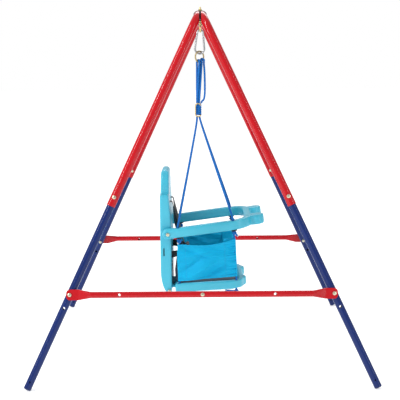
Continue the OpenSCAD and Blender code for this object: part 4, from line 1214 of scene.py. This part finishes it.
# ------------------------------------------------------------------ stage
@dataclass
class Studio:
    """Floor, light and camera."""

    camera_at: Point = (0.002, -3.097, 1.029)
    pitch: float = 9.04
    yaw: float = 0.133
    roll: float = -0.42
    lens: float = 77.55
    ambient: float = 0.62

    def build(self) -> None:
        """Makes the stage."""
        bpy.ops.object.select_all(action="DESELECT")
        bpy.ops.mesh.primitive_plane_add(size=60, location=(0, 0, -0.0005))
        floor = bpy.context.object
        floor.name = "floor"
        material = bpy.data.materials.new("pale floor")
        material.use_nodes = True
        graph = Graph(material.node_tree)
        shader = material.node_tree.nodes["Principled BSDF"]
        shader.inputs["Base Color"].default_value = (0.9, 0.9, 0.9, 1)
        shader.inputs["Roughness"].default_value = 0.9
        shader.inputs["Specular IOR Level"].default_value = 0.0
        shader.inputs["Emission Color"].default_value = (1, 1, 1, 1)
        place = graph.node("ShaderNodeTexCoord").outputs["Object"]
        away = graph.node("ShaderNodeVectorMath", operation="LENGTH")
        graph.put(away.inputs[0], place)
        graph.put(shader.inputs["Emission Strength"], graph.ramp(away.outputs["Value"], 1.0, 4.0, 0.42, 0.62))
        floor.data.materials.append(material)
        self.surroundings()
        for name, at, size, power in (("key", (-2.6, -1.8, 2.6), (0.35, 4.0), 105),
                                      ("fill", (2.9, -2.2, 1.6), (0.3, 4.0), 30),
                                      ("rim", (0.4, 2.6, 3.2), (2.4, 1.0), 34)):
            self.light(name, at, size, power)
        self.camera()
        bpy.context.scene.view_settings.view_transform = "Standard"

    def surroundings(self) -> None:
        """Makes the surroundings: white where the camera sees them, and dimmer as a light."""
        world = bpy.data.worlds.new("studio")
        bpy.context.scene.world = world
        world.use_nodes = True
        graph = Graph(world.node_tree)
        background = world.node_tree.nodes["Background"]
        background.inputs["Color"].default_value = (1, 1, 1, 1)
        seen = graph.node("ShaderNodeLightPath").outputs["Is Camera Ray"]
        graph.put(background.inputs["Strength"], graph.ramp(seen, 0.0, 1.0, self.ambient, 1.0))

    def light(self, name: str, at: Point, size: tuple[float, float], power: float) -> None:
        """Adds a soft upright strip light that faces the seat."""
        data = bpy.data.lights.new(name, "AREA")
        data.shape = "RECTANGLE"
        data.size, data.size_y, data.energy = *size, power
        lamp = bpy.data.objects.new(name, data)
        lamp.location = at
        lamp.rotation_mode = "QUATERNION"
        lamp.rotation_quaternion = (Vector((0, 0, 0.55)) - Vector(at)).to_track_quat("-Z", "Y")
        bpy.context.scene.collection.objects.link(lamp)

    def camera(self) -> None:
        """Adds the camera, with its small turn and roll."""
        data = bpy.data.cameras.new("camera")
        data.sensor_width, data.lens = SENSOR_WIDTH, self.lens
        data.clip_start, data.clip_end = 0.05, 200
        camera = bpy.data.objects.new("camera", data)
        turn = (Matrix.Rotation(math.radians(self.yaw), 4, "Z")
                @ Matrix.Rotation(math.radians(90 - self.pitch), 4, "X")
                @ Matrix.Rotation(math.radians(self.roll), 4, "Z"))
        camera.matrix_world = Matrix.Translation(self.camera_at) @ turn
        bpy.context.scene.collection.objects.link(camera)
        bpy.context.scene.camera = camera


def main() -> None:
    """Builds the stage and every piece."""
    Studio().build()
    FrameMetal().build()
    hanger = Hanger()
    hanger.build()
    FabricSides(hanger).build()
    SeatShell().build()
    SeatPad().build()
    Harness().build()


if __name__ == "__main__":
    main()
